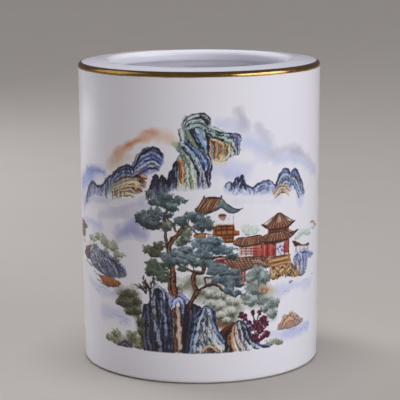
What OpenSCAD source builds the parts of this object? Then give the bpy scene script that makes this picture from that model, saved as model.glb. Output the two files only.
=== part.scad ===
// Brush pot: a straight porcelain cylinder with a flat turned-in shoulder, a glaze coat inside and
// out, a gilt line over the rim's corner and a landscape in overglaze enamel round the front.
// The layers are separate solids that meet face to face, as they are laid on one after another.
// Origin: centre of the foot, on the table. +Z is up and -Y is the painted front.

/* [Pot] */
// Outside diameter just under the rim
pot_d = 100; // [90:1:110]
// Outside diameter just above the foot
foot_d = 98.2; // [88:0.2:108]
// Height from the table to the crest of the shoulder
pot_h = 125.3; // [115:0.1:140]
// Thickness of the wall, the shoulder and the floor, with their glaze
wall_t = 4.9; // [4:0.1:6]

/* [Shoulder and mouth] */
// Diameter of the mouth
mouth_d = 73.6; // [68:0.2:76]
// How much the shoulder rises from the rim's corner to its crest
crown = 0.8; // [0.4:0.1:1.2]
// Radius of the rim's outer corner
corner_r = 1.8; // [1.2:0.1:2.4]
// Radius of the mouth's upper edge
lip_r = 2.4; // [1.6:0.1:2.6]

/* [Foot] */
// Radius that rolls the wall under to the foot
foot_round = 1.6; // [1:0.1:2.2]
// Height of the base panel above the table
foot_rise = 1.8; // [1.2:0.1:3]
// Width of the bare ring that stands on the table
foot_ring_w = 2.8; // [2:0.1:4]

/* [Coats] */
// Thickness of the glaze
glaze_t = 0.35; // [0.2:0.05:0.5]
// Thickness of the enamel
enamel_t = 0.12; // [0.1:0.02:0.2]
// Height of the gilt band
gilt_h = 2.1; // [1.5:0.1:3]
// Thickness of the gilding
gilt_t = 0.1; // [0.08:0.02:0.2]

/* [Hidden] */
$fn = 96;

pot_r = pot_d / 2;
foot_r = foot_d / 2;
mouth_r = mouth_d / 2;
rim_z = pot_h - crown;             // top of the rim's outer corner
wall_top_z = rim_z - corner_r;     // where the straight wall ends
lip_z = pot_h - lip_r;             // where the outer and inner glaze meet in the mouth
under_z = pot_h - wall_t;          // underside of the shoulder
floor_z = foot_rise + wall_t;      // inside floor
cavity_r = pot_r - wall_t;         // inside radius at the top
cavity_foot_r = foot_r - wall_t;   // inside radius at the floor
lip_under_r = 1.5;                 // lower edge of the mouth
cove_r = 4;                        // hollow corner under the shoulder
floor_cove_r = 6;                  // hollow corner round the floor
glaze_stop = -40;                  // how far round the foot's roll the glaze is left on, degrees
contact_r = foot_r - foot_round;   // outer edge of the ring that stands on the table
panel_r = contact_r - foot_ring_w - foot_rise;  // edge of the glazed base panel
bare_edge = 0.4;                   // bare porcelain left round the glazed base panel
arc_steps = 8;

// Points on an arc about c, from angle a to angle b
function arc(c, r, a, b, steps = arc_steps) =
    [for (i = [0:steps]) c + r * [cos(a + (b - a) * i / steps), sin(a + (b - a) * i / steps)]];
function reversed(path) = [for (i = [len(path) - 1:-1:0]) path[i]];

// The outside from the foot up to the mouth, d under the glaze's face
function outer_path(d) = concat(
    arc([contact_r, foot_round], foot_round - d, glaze_stop, 0),
    arc([pot_r - corner_r, wall_top_z], corner_r - d, 0, 90),
    arc([mouth_r + lip_r, lip_z], lip_r - d, 90, 180));

// The inside from the mouth down to the middle of the floor, d under the glaze's face
function inner_path(d) = concat(
    arc([mouth_r + lip_under_r, under_z + lip_under_r], lip_under_r - d, 180, 270),
    arc([cavity_r - cove_r, under_z - cove_r], cove_r + d, 90, 0),
    arc([cavity_foot_r - floor_cove_r, floor_z + floor_cove_r], floor_cove_r + d, 0, -90),
    [[0, floor_z - d]]);

// The bare foot ring and the recess inside it, from the middle out
function foot_path() = [
    [0, foot_rise], [panel_r, foot_rise], [contact_r - foot_ring_w, 0], [contact_r, 0]];

function lip_join(d) = [mouth_r + d, lip_z];

// Radius of the painted wall at height z
function wall_r(z) = foot_r + (pot_r - foot_r) * (z - foot_round) / (wall_top_z - foot_round);

module porcelain_body() {
    color("white") rotate_extrude()
        polygon(concat(foot_path(), outer_path(glaze_t), inner_path(glaze_t)));
}

module outer_glaze() {
    color("ghostwhite") rotate_extrude()
        polygon(concat(outer_path(0), reversed(outer_path(glaze_t))));
}

module inner_glaze() {
    color("lavender") rotate_extrude()
        polygon(concat([lip_join(0)], inner_path(0), reversed(inner_path(glaze_t)), [lip_join(glaze_t)]));
}

module base_glaze() {
    color("lavender") translate([0, 0, foot_rise - glaze_t]) cylinder(h = glaze_t, r = panel_r - bare_edge);
}

// The gilding covers the top of the wall and rolls over the corner on to the shoulder
module gilt_rim_band() {
    corner = [pot_r - corner_r, wall_top_z];
    wall_part = gilt_h - corner_r;
    roll = 80;
    color("goldenrod") rotate_extrude() polygon(concat(
        [[wall_r(wall_top_z - wall_part), wall_top_z - wall_part],
         [wall_r(wall_top_z - wall_part) + gilt_t, wall_top_z - wall_part]],
        arc(corner, corner_r + gilt_t, 0, roll),
        reversed(arc(corner, corner_r, 0, roll))));
}

// Outlines of the enamel motifs, as [distance round the wall from the front, height] in mm

peak_line = [
    [-20, 78.5], [-19, 84], [-15, 84.5], [-12, 83], [-9.5, 88], [-10.5, 95], [-7, 99], [-6.5, 107],
    [-3, 109], [3, 108.5], [5, 103], [9, 101], [16.5, 100.5], [15, 92], [9, 90], [5, 90.5], [4, 86],
    [5, 80], [3, 78], [-7, 78.5]];
left_ridge_line = [
    [-61, 67], [-60, 73], [-55, 77], [-46, 76.5], [-40, 81], [-35, 86], [-28, 88], [-24, 93], [-19, 95],
    [-15, 92], [-13, 88.5], [-20, 86], [-23, 80], [-30, 76], [-38, 73], [-45, 72], [-50, 74], [-57, 71]];
right_ridge_line = [
    [10.5, 80], [12, 84], [15, 83.5], [18, 80], [21, 79], [25, 81], [31, 81], [33, 79], [36, 84.5],
    [40, 83.5], [44, 85], [48, 79], [50.5, 73], [46, 76], [40, 74], [34, 73], [31, 77], [25, 76.5], [17, 76]];
sunrise_line = [
    [-40, 89], [-36, 93], [-32, 97], [-26, 99.5], [-20, 102.5], [-14, 101], [-11, 98.5], [-13, 95.5],
    [-19, 97], [-26, 95], [-30, 90], [-35, 88]];
left_haze_line = [[-66, 76], [-63, 83], [-55, 85.5], [-45, 84.5], [-42, 82], [-47, 78.5], [-56, 79], [-62, 74]];
left_mist_line = [[-56, 66], [-48, 70], [-40, 71], [-30, 70], [-30, 58], [-36, 56], [-42, 60], [-50, 62]];
right_mist_line = [
    [12, 106], [14, 112], [18, 111], [20, 103.5], [26, 103], [30, 98], [38, 94.5], [48, 91], [57, 85],
    [62, 79], [58, 78], [52, 83], [46, 88], [36, 88], [26, 84], [20, 84], [18, 97], [18, 102], [12, 103]];
pavilions_line = [
    [6, 61], [5, 66], [8, 70], [0, 71], [3, 75.5], [9, 75.5], [17, 70.5], [13, 68.5], [12, 64.5], [16, 63],
    [16, 60.5], [25, 61], [30, 63.5], [33, 67.5], [36, 66], [42, 62.5], [40, 60.5], [43, 58.5], [41, 55],
    [41, 50], [42, 46], [40, 42], [34, 42], [30, 49], [14, 42], [8, 50]];
pines_line = [
    [-28, 68], [-20, 72], [-21, 76], [-14, 78.4], [-6, 75], [-8, 71], [-1, 69.5], [4, 66], [4, 62],
    [10, 60], [15, 54], [11, 50], [14, 42], [10, 38], [2, 41], [-2, 41], [-8, 44], [-12, 41], [-20, 44],
    [-22, 50], [-25, 54], [-20, 58], [-15, 62], [-24, 64]];
cliff_line = [
    [-24, 12.5], [-23, 28], [-25, 34], [-21, 41], [-12, 40], [-8, 37], [-2, 39], [5, 40], [12, 37],
    [15, 31], [24, 28], [27, 12.5]];
plum_line = [[15, 27], [17, 29.5], [23, 29.5], [29.5, 26], [29.5, 18], [26, 14.5], [21, 16], [19, 22]];
bank_tree_line = [
    [16, 40], [20, 46], [25, 48], [31, 46], [31, 38], [36, 30], [34, 26], [30.5, 24], [30, 27], [24, 30.5],
    [16.5, 31]];
low_shrub_line = [[28, 12.5], [30.5, 17], [34, 17], [38, 13]];
upper_left_shrub_line = [[-38, 29], [-35, 36], [-28, 38], [-26, 34], [-24.5, 28], [-29, 25], [-34, 26]];
lower_left_shrub_line = [[-45, 15], [-42, 19], [-35, 18], [-30, 22], [-25, 22], [-25, 12.5], [-38, 12.5]];
left_islet_line = [
    [-65, 47], [-60, 53], [-50, 58], [-42, 56], [-36, 52], [-31, 47], [-33, 42], [-35, 37], [-46, 37],
    [-52, 41], [-60, 44]];
right_rocks_line = [
    [45, 58], [49, 60.5], [57, 60.5], [66, 58], [59, 55], [61, 47], [56, 45], [53, 40], [46, 39], [44.5, 44],
    [45, 50]];
right_islet_line = [[33, 21], [37, 25], [41, 26.5], [45, 25], [50, 21], [46, 19], [38, 18.5]];
left_water_line = [[-50, 22], [-48, 34], [-41, 35], [-40, 28], [-36, 22], [-42, 20.5]];
right_water_line = [[40, 30], [42, 35], [58, 36], [62, 33], [52, 30.5]];

LEFT = -45;
FRONT = 0;
RIGHT = 45;

// Flattens an outline into the plane that faces out at the given bearing
function facing(line, bearing) = [
    for (p = line) [wall_r(p[1]) * sin(p[0] / pot_r * 180 / PI - bearing), p[1]]];

// A thin patch of enamel on the wall, inside one outline and clear of the outlines in front of it
module enamel(line, bearing, in_front = []) {
    intersection() {
        rotate_extrude() polygon([
            [wall_r(foot_round), foot_round], [wall_r(foot_round) + enamel_t, foot_round],
            [pot_r + enamel_t, wall_top_z], [pot_r, wall_top_z]]);
        rotate([0, 0, bearing]) rotate([90, 0, 0]) linear_extrude(height = pot_d) difference() {
            polygon(facing(line, bearing));
            for (nearer = in_front) polygon(facing(nearer, bearing));
        }
    }
}

module enamel_peak() { color("steelblue") enamel(peak_line, FRONT); }
module enamel_left_ridge() { color("slateblue") enamel(left_ridge_line, LEFT); }
module enamel_right_ridge() { color("slateblue") enamel(right_ridge_line, FRONT); }
module enamel_sunrise_cloud() { color("sandybrown") enamel(sunrise_line, LEFT); }
module enamel_left_mist() {
    color("lightsteelblue") {
        enamel(left_haze_line, LEFT);
        enamel(left_mist_line, LEFT);
    }
}
module enamel_right_mist() { color("lightsteelblue") enamel(right_mist_line, RIGHT); }
module enamel_pavilions() {
    color("indianred") enamel(pavilions_line, FRONT, [pines_line, bank_tree_line]);
}
module enamel_pines() { color("darkslategray") enamel(pines_line, FRONT); }
module enamel_cliff() { color("slategray") enamel(cliff_line, FRONT, [pines_line, plum_line]); }
module enamel_plum_bush() { color("mediumvioletred") enamel(plum_line, FRONT); }
module enamel_bank_shrubs() {
    color("darkseagreen") {
        enamel(bank_tree_line, FRONT, [cliff_line]);
        enamel(low_shrub_line, FRONT);
        enamel(upper_left_shrub_line, FRONT);
        enamel(lower_left_shrub_line, FRONT);
    }
}
module enamel_left_islet() { color("cadetblue") enamel(left_islet_line, LEFT); }
module enamel_right_rocks() { color("cadetblue") enamel(right_rocks_line, RIGHT); }
module enamel_right_islet() { color("rosybrown") enamel(right_islet_line, FRONT); }
module enamel_water() {
    color("lightblue") {
        enamel(left_water_line, LEFT);
        enamel(right_water_line, RIGHT);
    }
}

porcelain_body();
outer_glaze();
inner_glaze();
base_glaze();
gilt_rim_band();
enamel_peak();
enamel_left_ridge();
enamel_right_ridge();
enamel_sunrise_cloud();
enamel_left_mist();
enamel_right_mist();
enamel_pavilions();
enamel_pines();
enamel_cliff();
enamel_plum_bush();
enamel_bank_shrubs();
enamel_left_islet();
enamel_right_rocks();
enamel_right_islet();
enamel_water();
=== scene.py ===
# %% [markdown]
# # A porcelain brush pot with an enamelled landscape
#
# A brush pot stands on a writing desk and holds brushes. This one is white porcelain, about 10 cm
# across and 12.5 cm tall: a nearly straight cylinder with a flat shoulder turned in to the mouth, a
# gilt line round the rim's corner, and a landscape of mountains, pines and pavilions in coloured
# enamel on the front. The solid parts come from a fixed frame, in metres. This notebook adds what the
# eye sees: smooth glaze, gilding, and a painting that is made in code, stroke by stroke.

# %% Load the fixed frame
import math

import bpy
import numpy as np
from mathutils import Matrix, Vector


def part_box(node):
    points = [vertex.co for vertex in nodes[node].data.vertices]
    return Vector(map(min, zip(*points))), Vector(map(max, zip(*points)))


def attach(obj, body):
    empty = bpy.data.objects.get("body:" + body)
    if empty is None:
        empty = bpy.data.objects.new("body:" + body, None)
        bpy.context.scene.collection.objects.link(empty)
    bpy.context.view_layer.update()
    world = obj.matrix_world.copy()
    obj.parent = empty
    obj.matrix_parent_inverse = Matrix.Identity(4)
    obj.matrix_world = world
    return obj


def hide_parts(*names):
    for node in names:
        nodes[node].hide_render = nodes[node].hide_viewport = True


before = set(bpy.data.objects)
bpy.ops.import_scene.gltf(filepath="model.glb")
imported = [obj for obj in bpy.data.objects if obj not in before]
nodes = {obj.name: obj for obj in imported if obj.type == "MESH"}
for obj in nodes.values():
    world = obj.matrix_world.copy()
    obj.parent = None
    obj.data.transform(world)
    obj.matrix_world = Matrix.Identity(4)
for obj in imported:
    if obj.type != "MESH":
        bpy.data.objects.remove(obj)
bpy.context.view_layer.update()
print("frame pieces:", len(nodes))

# %% [markdown]
# ## Reading the pot's shape off the frame
#
# The frame's round corners are made of a few flat strips, which show as facets in a glossy glaze. So
# the glaze and the gilding are turned again here, as fine lathe forms. A lathe form needs only a
# profile: radius and height. The profile's straight runs end where its arcs begin, and each of those
# points is a vertex in the frame, so it can be found by asking for the widest or highest vertex.


# %% Radii and heights of a piece's vertices
NEAR = 0.005                         # mm. Vertices this close to a limit stand at it


def turned(name):
    """Radius and height of each vertex of a frame piece, in millimetres."""
    spots = 1000 * np.array([v.co for v in nodes[name].data.vertices])
    return np.hypot(spots[:, 0], spots[:, 1]), spots[:, 2]


def highest(name, low, high=1e3):
    """The greatest height among a piece's vertices whose radius is between low and high."""
    radius, height = turned(name)
    return float(height[(radius > low) & (radius < high)].max())


print("the body's widest vertex is", round(float(turned("porcelain_body")[0].max()), 2), "mm out")


# %% The outside: wall, corner, shoulder and lip
radius, height = turned("outer_glaze")
wall_r = float(radius.max())                                   # wall's top, where the corner begins
wall_top = float(height[radius > wall_r - NEAR].max())
foot_r = float(radius[height < 5].max())                       # wall's foot, where it rolls under
foot_top = float(height[(height < 5) & (radius > foot_r - NEAR)].max())
mouth_r = float(radius.min())
crest_z = float(height.max())
crest_r = float(radius[height > crest_z - NEAR].max())
lip_r = crest_r - mouth_r                                      # radius of the rounded lip
rim_z = highest("outer_glaze", wall_r - 2, wall_r)
corner_r = rim_z - wall_top                                    # radius of the wall's top corner
print(f"wall {wall_r:.2f} at {wall_top:.2f}, foot {foot_r:.2f} at {foot_top:.2f}")
print(f"mouth {mouth_r:.2f}, lip {lip_r:.2f}, crest {crest_z:.2f}, corner {corner_r:.2f}")

# %% The inside: under the lip, wall and floor
panel_low, panel_high = (1000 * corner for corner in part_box("base_glaze"))
coat = (panel_high - panel_low).z                              # thickness of each glaze coat
radius, height = turned("inner_glaze")
cavity_r = float(radius.max()) - coat
cavity_top = float(height[radius > cavity_r + coat - NEAR].max())
floor_z = float(height.min()) + coat
cavity_foot_r = float(radius[height < floor_z + 7].max()) - coat
cavity_foot_top = float(height[(height < floor_z + 7) & (radius > cavity_foot_r + coat - NEAR)].max())
throat_end = float(height[radius < mouth_r + NEAR].min())   # lowest point of the mouth's straight throat
under_z = float(height[(radius > mouth_r + 1) & (radius < mouth_r + 3) & (height > 100)].min())
print(f"cavity {cavity_r:.2f} to {cavity_foot_r:.2f}, floor {floor_z:.2f}, coat {coat:.2f}")
print(f"the throat ends at {throat_end:.2f} and the shoulder's underside is at {under_z:.2f}")

# %% [markdown]
# ## Camera, floor and light
#
# The camera stands about 70 cm in front of the pot and looks down a little, through a long lens, so
# the wall's sides stay nearly upright and the mouth is a shallow ellipse. Porcelain is a white, glossy
# cylinder, and what makes it look round is the change of light round it. One large soft key light on
# the right gives the bright side and its mirrored band down the wall. Everything else is set round
# that. The left, fill and overhead lights only lighten the shade: they aren't mirrored, because
# each of them would put a second highlight on the glaze. The fill stands as low as the camera, so it
# reaches the inner wall under the lip. The gleam on the gold is the other way round. It lights
# nothing, and the gilt line mirrors it.

# %% The camera
CAMERA_SPOT = Vector((0.0, -0.6835, 0.1904))
LOOKS_DOWN = math.radians(10.35)
LEANS = math.radians(-0.41)

lens = bpy.data.cameras.new("camera")
lens.sensor_width = 36.0
lens.lens = 148.9
camera = bpy.data.objects.new("camera", lens)
bpy.context.scene.collection.objects.link(camera)
tilt = Matrix.Rotation(math.pi / 2 - LOOKS_DOWN, 4, "X") @ Matrix.Rotation(LEANS, 4, "Z")
camera.matrix_world = Matrix.Translation(CAMERA_SPOT) @ tilt
bpy.context.scene.camera = camera
bpy.context.scene.view_settings.view_transform = "Standard"
print("camera at", [round(v, 3) for v in camera.location])


# %% Helpers for node finishes
def new_finish(name):
    """A new material with nodes. Returns it, its node tree and its shader."""
    made = bpy.data.materials.new(name)
    made.use_nodes = True
    return made, made.node_tree, made.node_tree.nodes["Principled BSDF"]


def put(tree, kind, **values):
    """Add a node. Each value goes to the input of that name, with _ for a space."""
    made = tree.nodes.new("ShaderNode" + kind)
    for name, value in values.items():
        made.inputs[name.replace("_", " ")].default_value = value
    return made


def noise(tree, size, detail=2.0):
    """Noise fixed to the piece, in blotches about size mm wide."""
    place = tree.nodes.new("ShaderNodeTexCoord")
    made = put(tree, "TexNoise", Scale=1000.0 / size, Detail=detail)
    tree.links.new(place.outputs["Object"], made.inputs["Vector"])
    return made.outputs["Fac"]


def spread(tree, value, low, high, start=0.3, end=0.7):
    """Map a noise value from start..end to low..high."""
    made = put(tree, "MapRange", From_Min=start, From_Max=end, To_Min=low, To_Max=high)
    tree.links.new(value, made.inputs["Value"])
    return made.outputs["Result"]


def mixed(tree, share, first, second, how="MIX"):
    """Mix two colours. Each may be a colour or another node's output, and so may the share."""
    made = tree.nodes.new("ShaderNodeMix")
    made.data_type = "RGBA"
    made.blend_type = how
    for socket, value in ((made.inputs[0], share), (made.inputs[6], first), (made.inputs[7], second)):
        if isinstance(value, bpy.types.NodeSocket):
            tree.links.new(value, socket)
        else:
            socket.default_value = value
    return made.outputs[2]


def feed(shader, socket, value):
    """Link a value to one of the shader's sockets."""
    shader.id_data.links.new(value, shader.inputs[socket])


def bump(tree, shader, height, depth):
    """Give the shader small relief, depth mm from the height's 0 to its 1."""
    made = put(tree, "Bump", Strength=1.0, Distance=depth / 1000)
    tree.links.new(height, made.inputs["Height"])
    feed(shader, "Normal", made.outputs["Normal"])


def linear(colour):
    """An 8-bit screen colour as the linear value that the shader works with."""
    part = np.array(colour, float) / 255
    return np.where(part > 0.04045, ((part + 0.055) / 1.055) ** 2.4, part / 12.92)


print("helpers ready")

# %% A plain pale floor
FLOOR_COLOUR = (178, 171, 162)
bpy.ops.mesh.primitive_plane_add(size=10, location=(0, 0, 0))
floor = bpy.context.object
floor.name = "floor"
floor_finish, tree, shader = new_finish("pale floor")
shade = spread(tree, noise(tree, 60, 4), 0.97, 1.0)
feed(shader, "Base Color", mixed(tree, 1.0, (*linear(FLOOR_COLOUR), 1), shade, "MULTIPLY"))
shader.inputs["Roughness"].default_value = 0.75
floor.data.materials.append(floor_finish)
print("floor laid:", [round(v, 2) for v in floor.dimensions])


# %% Soft lights
POT_MIDDLE = Vector((0, 0, 0.06))
COOL = (0.92, 0.93, 1.0)


def light(name, kind, power, colour, lights=True, mirrored=True):
    """A new light. One that isn't mirrored makes no highlight. One can also be mirrored only."""
    made = bpy.data.objects.new(name, bpy.data.lights.new(name, kind))
    made.data.energy = power
    made.data.color = colour
    made.visible_diffuse = lights
    made.visible_glossy = mirrored
    bpy.context.scene.collection.objects.link(made)
    return made


def softbox(name, bearing, distance, rise, wide, tall, watts, colour, **rays):
    """A soft rectangle that faces the pot. Bearing is in degrees from the front towards the right."""
    box = light(name, "AREA", watts, colour, **rays)
    box.data.shape = "RECTANGLE"
    box.data.size, box.data.size_y = wide, tall
    turn = math.radians(bearing)
    box.location = (distance * math.sin(turn), -distance * math.cos(turn), rise)
    box.rotation_mode = "QUATERNION"
    box.rotation_quaternion = (box.location - POT_MIDDLE).to_track_quat("Z", "Y")


softbox("key light", 63, 1.1, 0.55, 1.1, 0.8, 7.1, (0.90, 0.925, 1.0))
softbox("left light", -128, 0.8, 0.3, 0.4, 0.9, 6.6, (0.88, 0.90, 1.0), mirrored=False)
softbox("fill light", 12, 0.9, 0.213, 0.6, 0.03, 2.2, (0.93, 0.93, 1.0), mirrored=False)
softbox("gleam on the gold", -95, 0.9, 0.65, 0.8, 0.8, 1.2, (1.0, 0.97, 0.92), lights=False)

# two lights that shine straight down: one on everything, and a cone as wide as the mouth
overhead = light("overhead light", "SUN", 2.1, COOL, mirrored=False)
overhead.data.angle = math.radians(30)
over_mouth = light("light into the mouth", "SPOT", 14, COOL, mirrored=False)
over_mouth.location.z = 1.3
over_mouth.data.spot_size = 2 * math.atan(0.036 / 1.175)
over_mouth.data.spot_blend = 0.8
over_mouth.data.shadow_soft_size = 0.002

# the room beyond the floor. Only the camera and mirrored rays meet it
world = bpy.data.worlds.new("studio")
world.use_nodes = True
world.node_tree.nodes["Background"].inputs["Color"].default_value = (0.97, 0.95, 1.0, 1)
world.node_tree.nodes["Background"].inputs["Strength"].default_value = 0.11
world.cycles_visibility.diffuse = False
bpy.context.scene.world = world


# %% [markdown]
# ## White glaze
#
# Porcelain glaze is a layer of clear glass, a third of a millimetre thick, over a white body. It is
# very smooth but not perfect: it flows a little in the kiln, so its surface swells and dips by a few
# hundredths of a millimetre, its gloss varies slightly, and its white has a faint cool cloudiness. Each
# of those is one noise in the finish. The relief is bump here and a real slow waviness in the mesh.

# %% The glaze finish
GLAZE_WHITE = np.array([240, 238, 243]) / 255
GLAZE_GLOSS = (0.10, 0.17)           # roughness, from the glossiest places to the dullest


def clouded(tree, colour):
    """A glaze colour, with the faint cloudiness of a thick white glass."""
    shade = spread(tree, noise(tree, 14, 3), 0.972, 1.0)
    tone = mixed(tree, shade, (0.93, 0.95, 1.0, 1), (1, 1, 1, 1))
    return mixed(tree, 1.0, colour, tone, "MULTIPLY")


def glaze_finish(name, colour):
    """Clear glass over a colour: very smooth, with slow swells in its surface."""
    made, tree, shader = new_finish(name)
    feed(shader, "Base Color", clouded(tree, (*linear(colour * 255), 1)))
    feed(shader, "Roughness", spread(tree, noise(tree, 9), *GLAZE_GLOSS))
    shader.inputs["IOR"].default_value = 1.5
    bump(tree, shader, noise(tree, 5, 1), 0.012)
    return made


white_glaze = glaze_finish("white glaze", GLAZE_WHITE)
print("glaze colour, linear:", [round(float(v), 3) for v in linear(GLAZE_WHITE * 255)])

# %% [markdown]
# ## Biscuit
#
# The ring that the pot stands on is left bare, or the glaze would weld it to the kiln shelf. Bare
# porcelain is matt, a little warmer than the glaze, and faintly grainy. This piece keeps its frame
# mesh, because its plain flat ring and cone need no finer form. Only its finish is changed.

# %% The biscuit finish
biscuit, tree, shader = new_finish("biscuit")
tone = mixed(tree, spread(tree, noise(tree, 3, 4), 0, 1), (0.74, 0.70, 0.63, 1), (0.82, 0.79, 0.74, 1))
speck = spread(tree, noise(tree, 0.5, 1), 0, 1, 0.68, 0.74)
feed(shader, "Base Color", mixed(tree, speck, tone, (0.60, 0.54, 0.46, 1)))
feed(shader, "Roughness", spread(tree, noise(tree, 2), 0.62, 0.8))
bump(tree, shader, noise(tree, 0.35, 3), 0.05)
body = nodes["porcelain_body"]
body.data.materials.clear()
body.data.materials.append(biscuit)
print("body finish:", body.data.materials[0].name)

# %% [markdown]
# ## Turning the glaze on a lathe
#
# A profile is a list of radii and heights, and the lathe sweeps it round the axis. Blender has a Screw
# modifier and a spin tool for this. Building the rings directly is as short, and lets each ring follow
# the slight unevenness of a fired pot: clay slumps by some hundredths of a millimetre as it shrinks. The
# same unevenness moves the enamel later, so that the two stay together.

# %% Arcs, the wall's line and the unevenness
STEPS_ROUND = 384


def arc(centre, size, start, end, count=24):
    """Points on an arc about a centre, with angles in degrees from straight out."""
    turn = np.radians(np.linspace(start, end, count))
    return np.column_stack([centre[0] + size * np.cos(turn), centre[1] + size * np.sin(turn)])


def wall_at(z):
    """The wall's radius at a height, in mm."""
    return foot_r + (wall_r - foot_r) * (z - foot_top) / (wall_top - foot_top)


def uneven(bearing, z):
    """How far the fired wall stands off a true circle, in mm."""
    slow = np.sin(2 * bearing + 0.6) + 0.6 * np.sin(3 * bearing + z / 31 + 1.9)
    quick = 0.4 * np.sin(5 * bearing - z / 17) + 0.3 * np.sin(z / 8.5 + bearing)
    return 0.008 * (slow + quick) - 0.012


print("unevenness at the front:", round(float(uneven(0, 60)), 4), "mm")


# %% The lathe
def new_piece(name, spots, faces, finish, stands_for):
    """Make a smooth-shaded mesh piece, in mm, that rides with the pot and stands for a frame piece."""
    mesh = bpy.data.meshes.new(name)
    mesh.from_pydata((np.array(spots) / 1000).tolist(), [], faces)
    mesh.validate()
    mesh.shade_smooth()
    mesh.materials.append(finish)
    piece = bpy.data.objects.new(name, mesh)
    bpy.context.scene.collection.objects.link(piece)
    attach(piece, "root")
    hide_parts(stands_for)
    return piece


def lathe(name, profile, finish, stands_for, moved=None):
    """Sweep a closed profile round the axis. moved(bearing, profile) may change it at each bearing."""
    bearings = np.linspace(-math.pi, math.pi, STEPS_ROUND, endpoint=False)
    rows = len(profile)
    spots = []
    for bearing in bearings:
        ring = moved(bearing, profile) if moved else profile
        reach = ring[:, 0] + uneven(bearing, ring[:, 1]) * np.clip(ring[:, 0] / 20, 0, 1)
        spots.append(np.column_stack([reach * math.sin(bearing), -reach * math.cos(bearing),
            ring[:, 1]]))
    here = np.arange(rows)
    after = np.roll(here, -1)
    faces = []
    for column in range(STEPS_ROUND):
        a, b = column * rows, (column + 1) % STEPS_ROUND * rows
        faces += np.column_stack([a + here, b + here, b + after, a + after]).tolist()
    piece = new_piece(name, np.vstack(spots), faces, finish, stands_for)
    piece.data.set_sharp_from_angle(angle=math.radians(35))
    print(name, "has", len(piece.data.polygons), "faces")
    return piece


# %% [markdown]
# The glaze outside starts under the foot's edge, climbs the wall, rounds the corner, crosses the
# shoulder and rolls into the mouth. Inside, it goes on down the throat, hugs the hollow under the
# shoulder and runs down to the middle of the floor. Each coat is a closed skin with the true thickness.

# %% The profiles
GLAZE_STOPS = -40                    # degrees round the foot's roll, where the glaze is wiped off


def even(path, gap=2.5):
    """Add points to a path's long straight runs, at most gap mm apart."""
    pieces = []
    for start, end in zip(path[:-1], path[1:]):
        count = max(1, int(math.ceil(np.hypot(*(end - start)) / gap)))
        pieces.append(start + (end - start) * np.linspace(0, 1, count, endpoint=False)[:, None])
    return np.vstack(pieces + [path[-1:]])


def outside(depth):
    """The outside, from the foot up to the mouth, at a depth under the glaze's face."""
    return even(np.vstack([arc((foot_r - foot_top, foot_top), foot_top - depth, GLAZE_STOPS, 0),
        arc((wall_r - corner_r, wall_top), corner_r - depth, 0, 90),
        arc((crest_r, crest_z - lip_r), lip_r - depth, 90, 180)]))


def inside_wall(depth):
    """The inside, from the mouth down to the middle of the floor."""
    throat, cove, floor_cove = throat_end - under_z, under_z - cavity_top, cavity_foot_top - floor_z
    return even(np.vstack([[[mouth_r + depth, crest_z - lip_r]],
        arc((mouth_r + throat, throat_end), throat - depth, 180, 270),
        arc((cavity_r - cove, cavity_top), cove + depth, 90, 0),
        arc((cavity_foot_r - floor_cove, cavity_foot_top), floor_cove + depth, 0, -90),
        [[0.02, floor_z - depth]]]), 4)


print("profiles of", len(outside(0)), "and", len(inside_wall(0)), "points")


# %% The three glaze coats
def coat_of(line):
    """A closed profile: the coat's face, then its back."""
    return np.vstack([line(0), line(coat)[::-1]])


lathe("glaze_outside", coat_of(outside), white_glaze, "outer_glaze")
lathe("glaze_inside", coat_of(inside_wall), white_glaze, "inner_glaze")

panel_r = panel_high.x
EDGE = coat / 2                      # the glaze pulls back to a rounded edge round the base panel
under_coat = np.vstack([[[0.02, panel_high.z]], [[panel_r - EDGE, panel_high.z]],
    arc((panel_r - EDGE, panel_high.z - EDGE), EDGE, 80, -90, 10), [[0.02, panel_low.z]]])
lathe("glaze_under_base", even(under_coat, 4), white_glaze, "base_glaze")

# %% [markdown]
# ## The gilt line
#
# Liquid bright gold is painted on with the pot spinning on a wheel, then fired. It is a metal film, so
# its finish is metallic and takes all its looks from what it mirrors. A brushed line isn't exact: its
# lower edge wanders by a few hundredths of a millimetre, the film is thinner there, and rubbing dulls
# it in places. It follows the corner from the wall almost to the flat of the shoulder.

# %% The gilding
gilding, tree, shader = new_finish("gilding")
tone = mixed(tree, spread(tree, noise(tree, 2.5, 4), 0, 1), (0.50, 0.29, 0.10, 1),
    (0.66, 0.42, 0.16, 1))
feed(shader, "Base Color", tone)
shader.inputs["Metallic"].default_value = 1.0
feed(shader, "Roughness", spread(tree, noise(tree, 1.6, 3), 0.12, 0.26))
bump(tree, shader, noise(tree, 0.8, 2), 0.006)

GILT_LOW = 1000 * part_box("gilt_rim_band")[0].z
GILT_ROLL = 80                       # degrees round the corner, where the gold ends
FILM = 0.05                          # mm


def brushed(bearing, line):
    """Move the line's lower end a little, as a loaded brush wanders."""
    wander = 0.07 * math.sin(3 * bearing + 1) + 0.05 * math.sin(11 * bearing)
    wander += 0.03 * math.sin(29 * bearing)
    share = np.clip((wall_top - line[:, 1]) / (wall_top - GILT_LOW), 0, 1)
    return line + np.column_stack([0 * share, share * wander])


def gilt_line(height):
    """The gold's face, height mm above the glaze, from its lower edge to the end of its roll."""
    turn = arc((wall_r - corner_r, wall_top), corner_r + height, 0, GILT_ROLL)
    return np.vstack([[[wall_at(GILT_LOW) + height, GILT_LOW]], turn])


face, back = gilt_line(FILM), gilt_line(-FILM)
lathe("gilt_line", np.vstack([face, back[::-1]]), gilding, "gilt_rim_band", moved=brushed)

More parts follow.
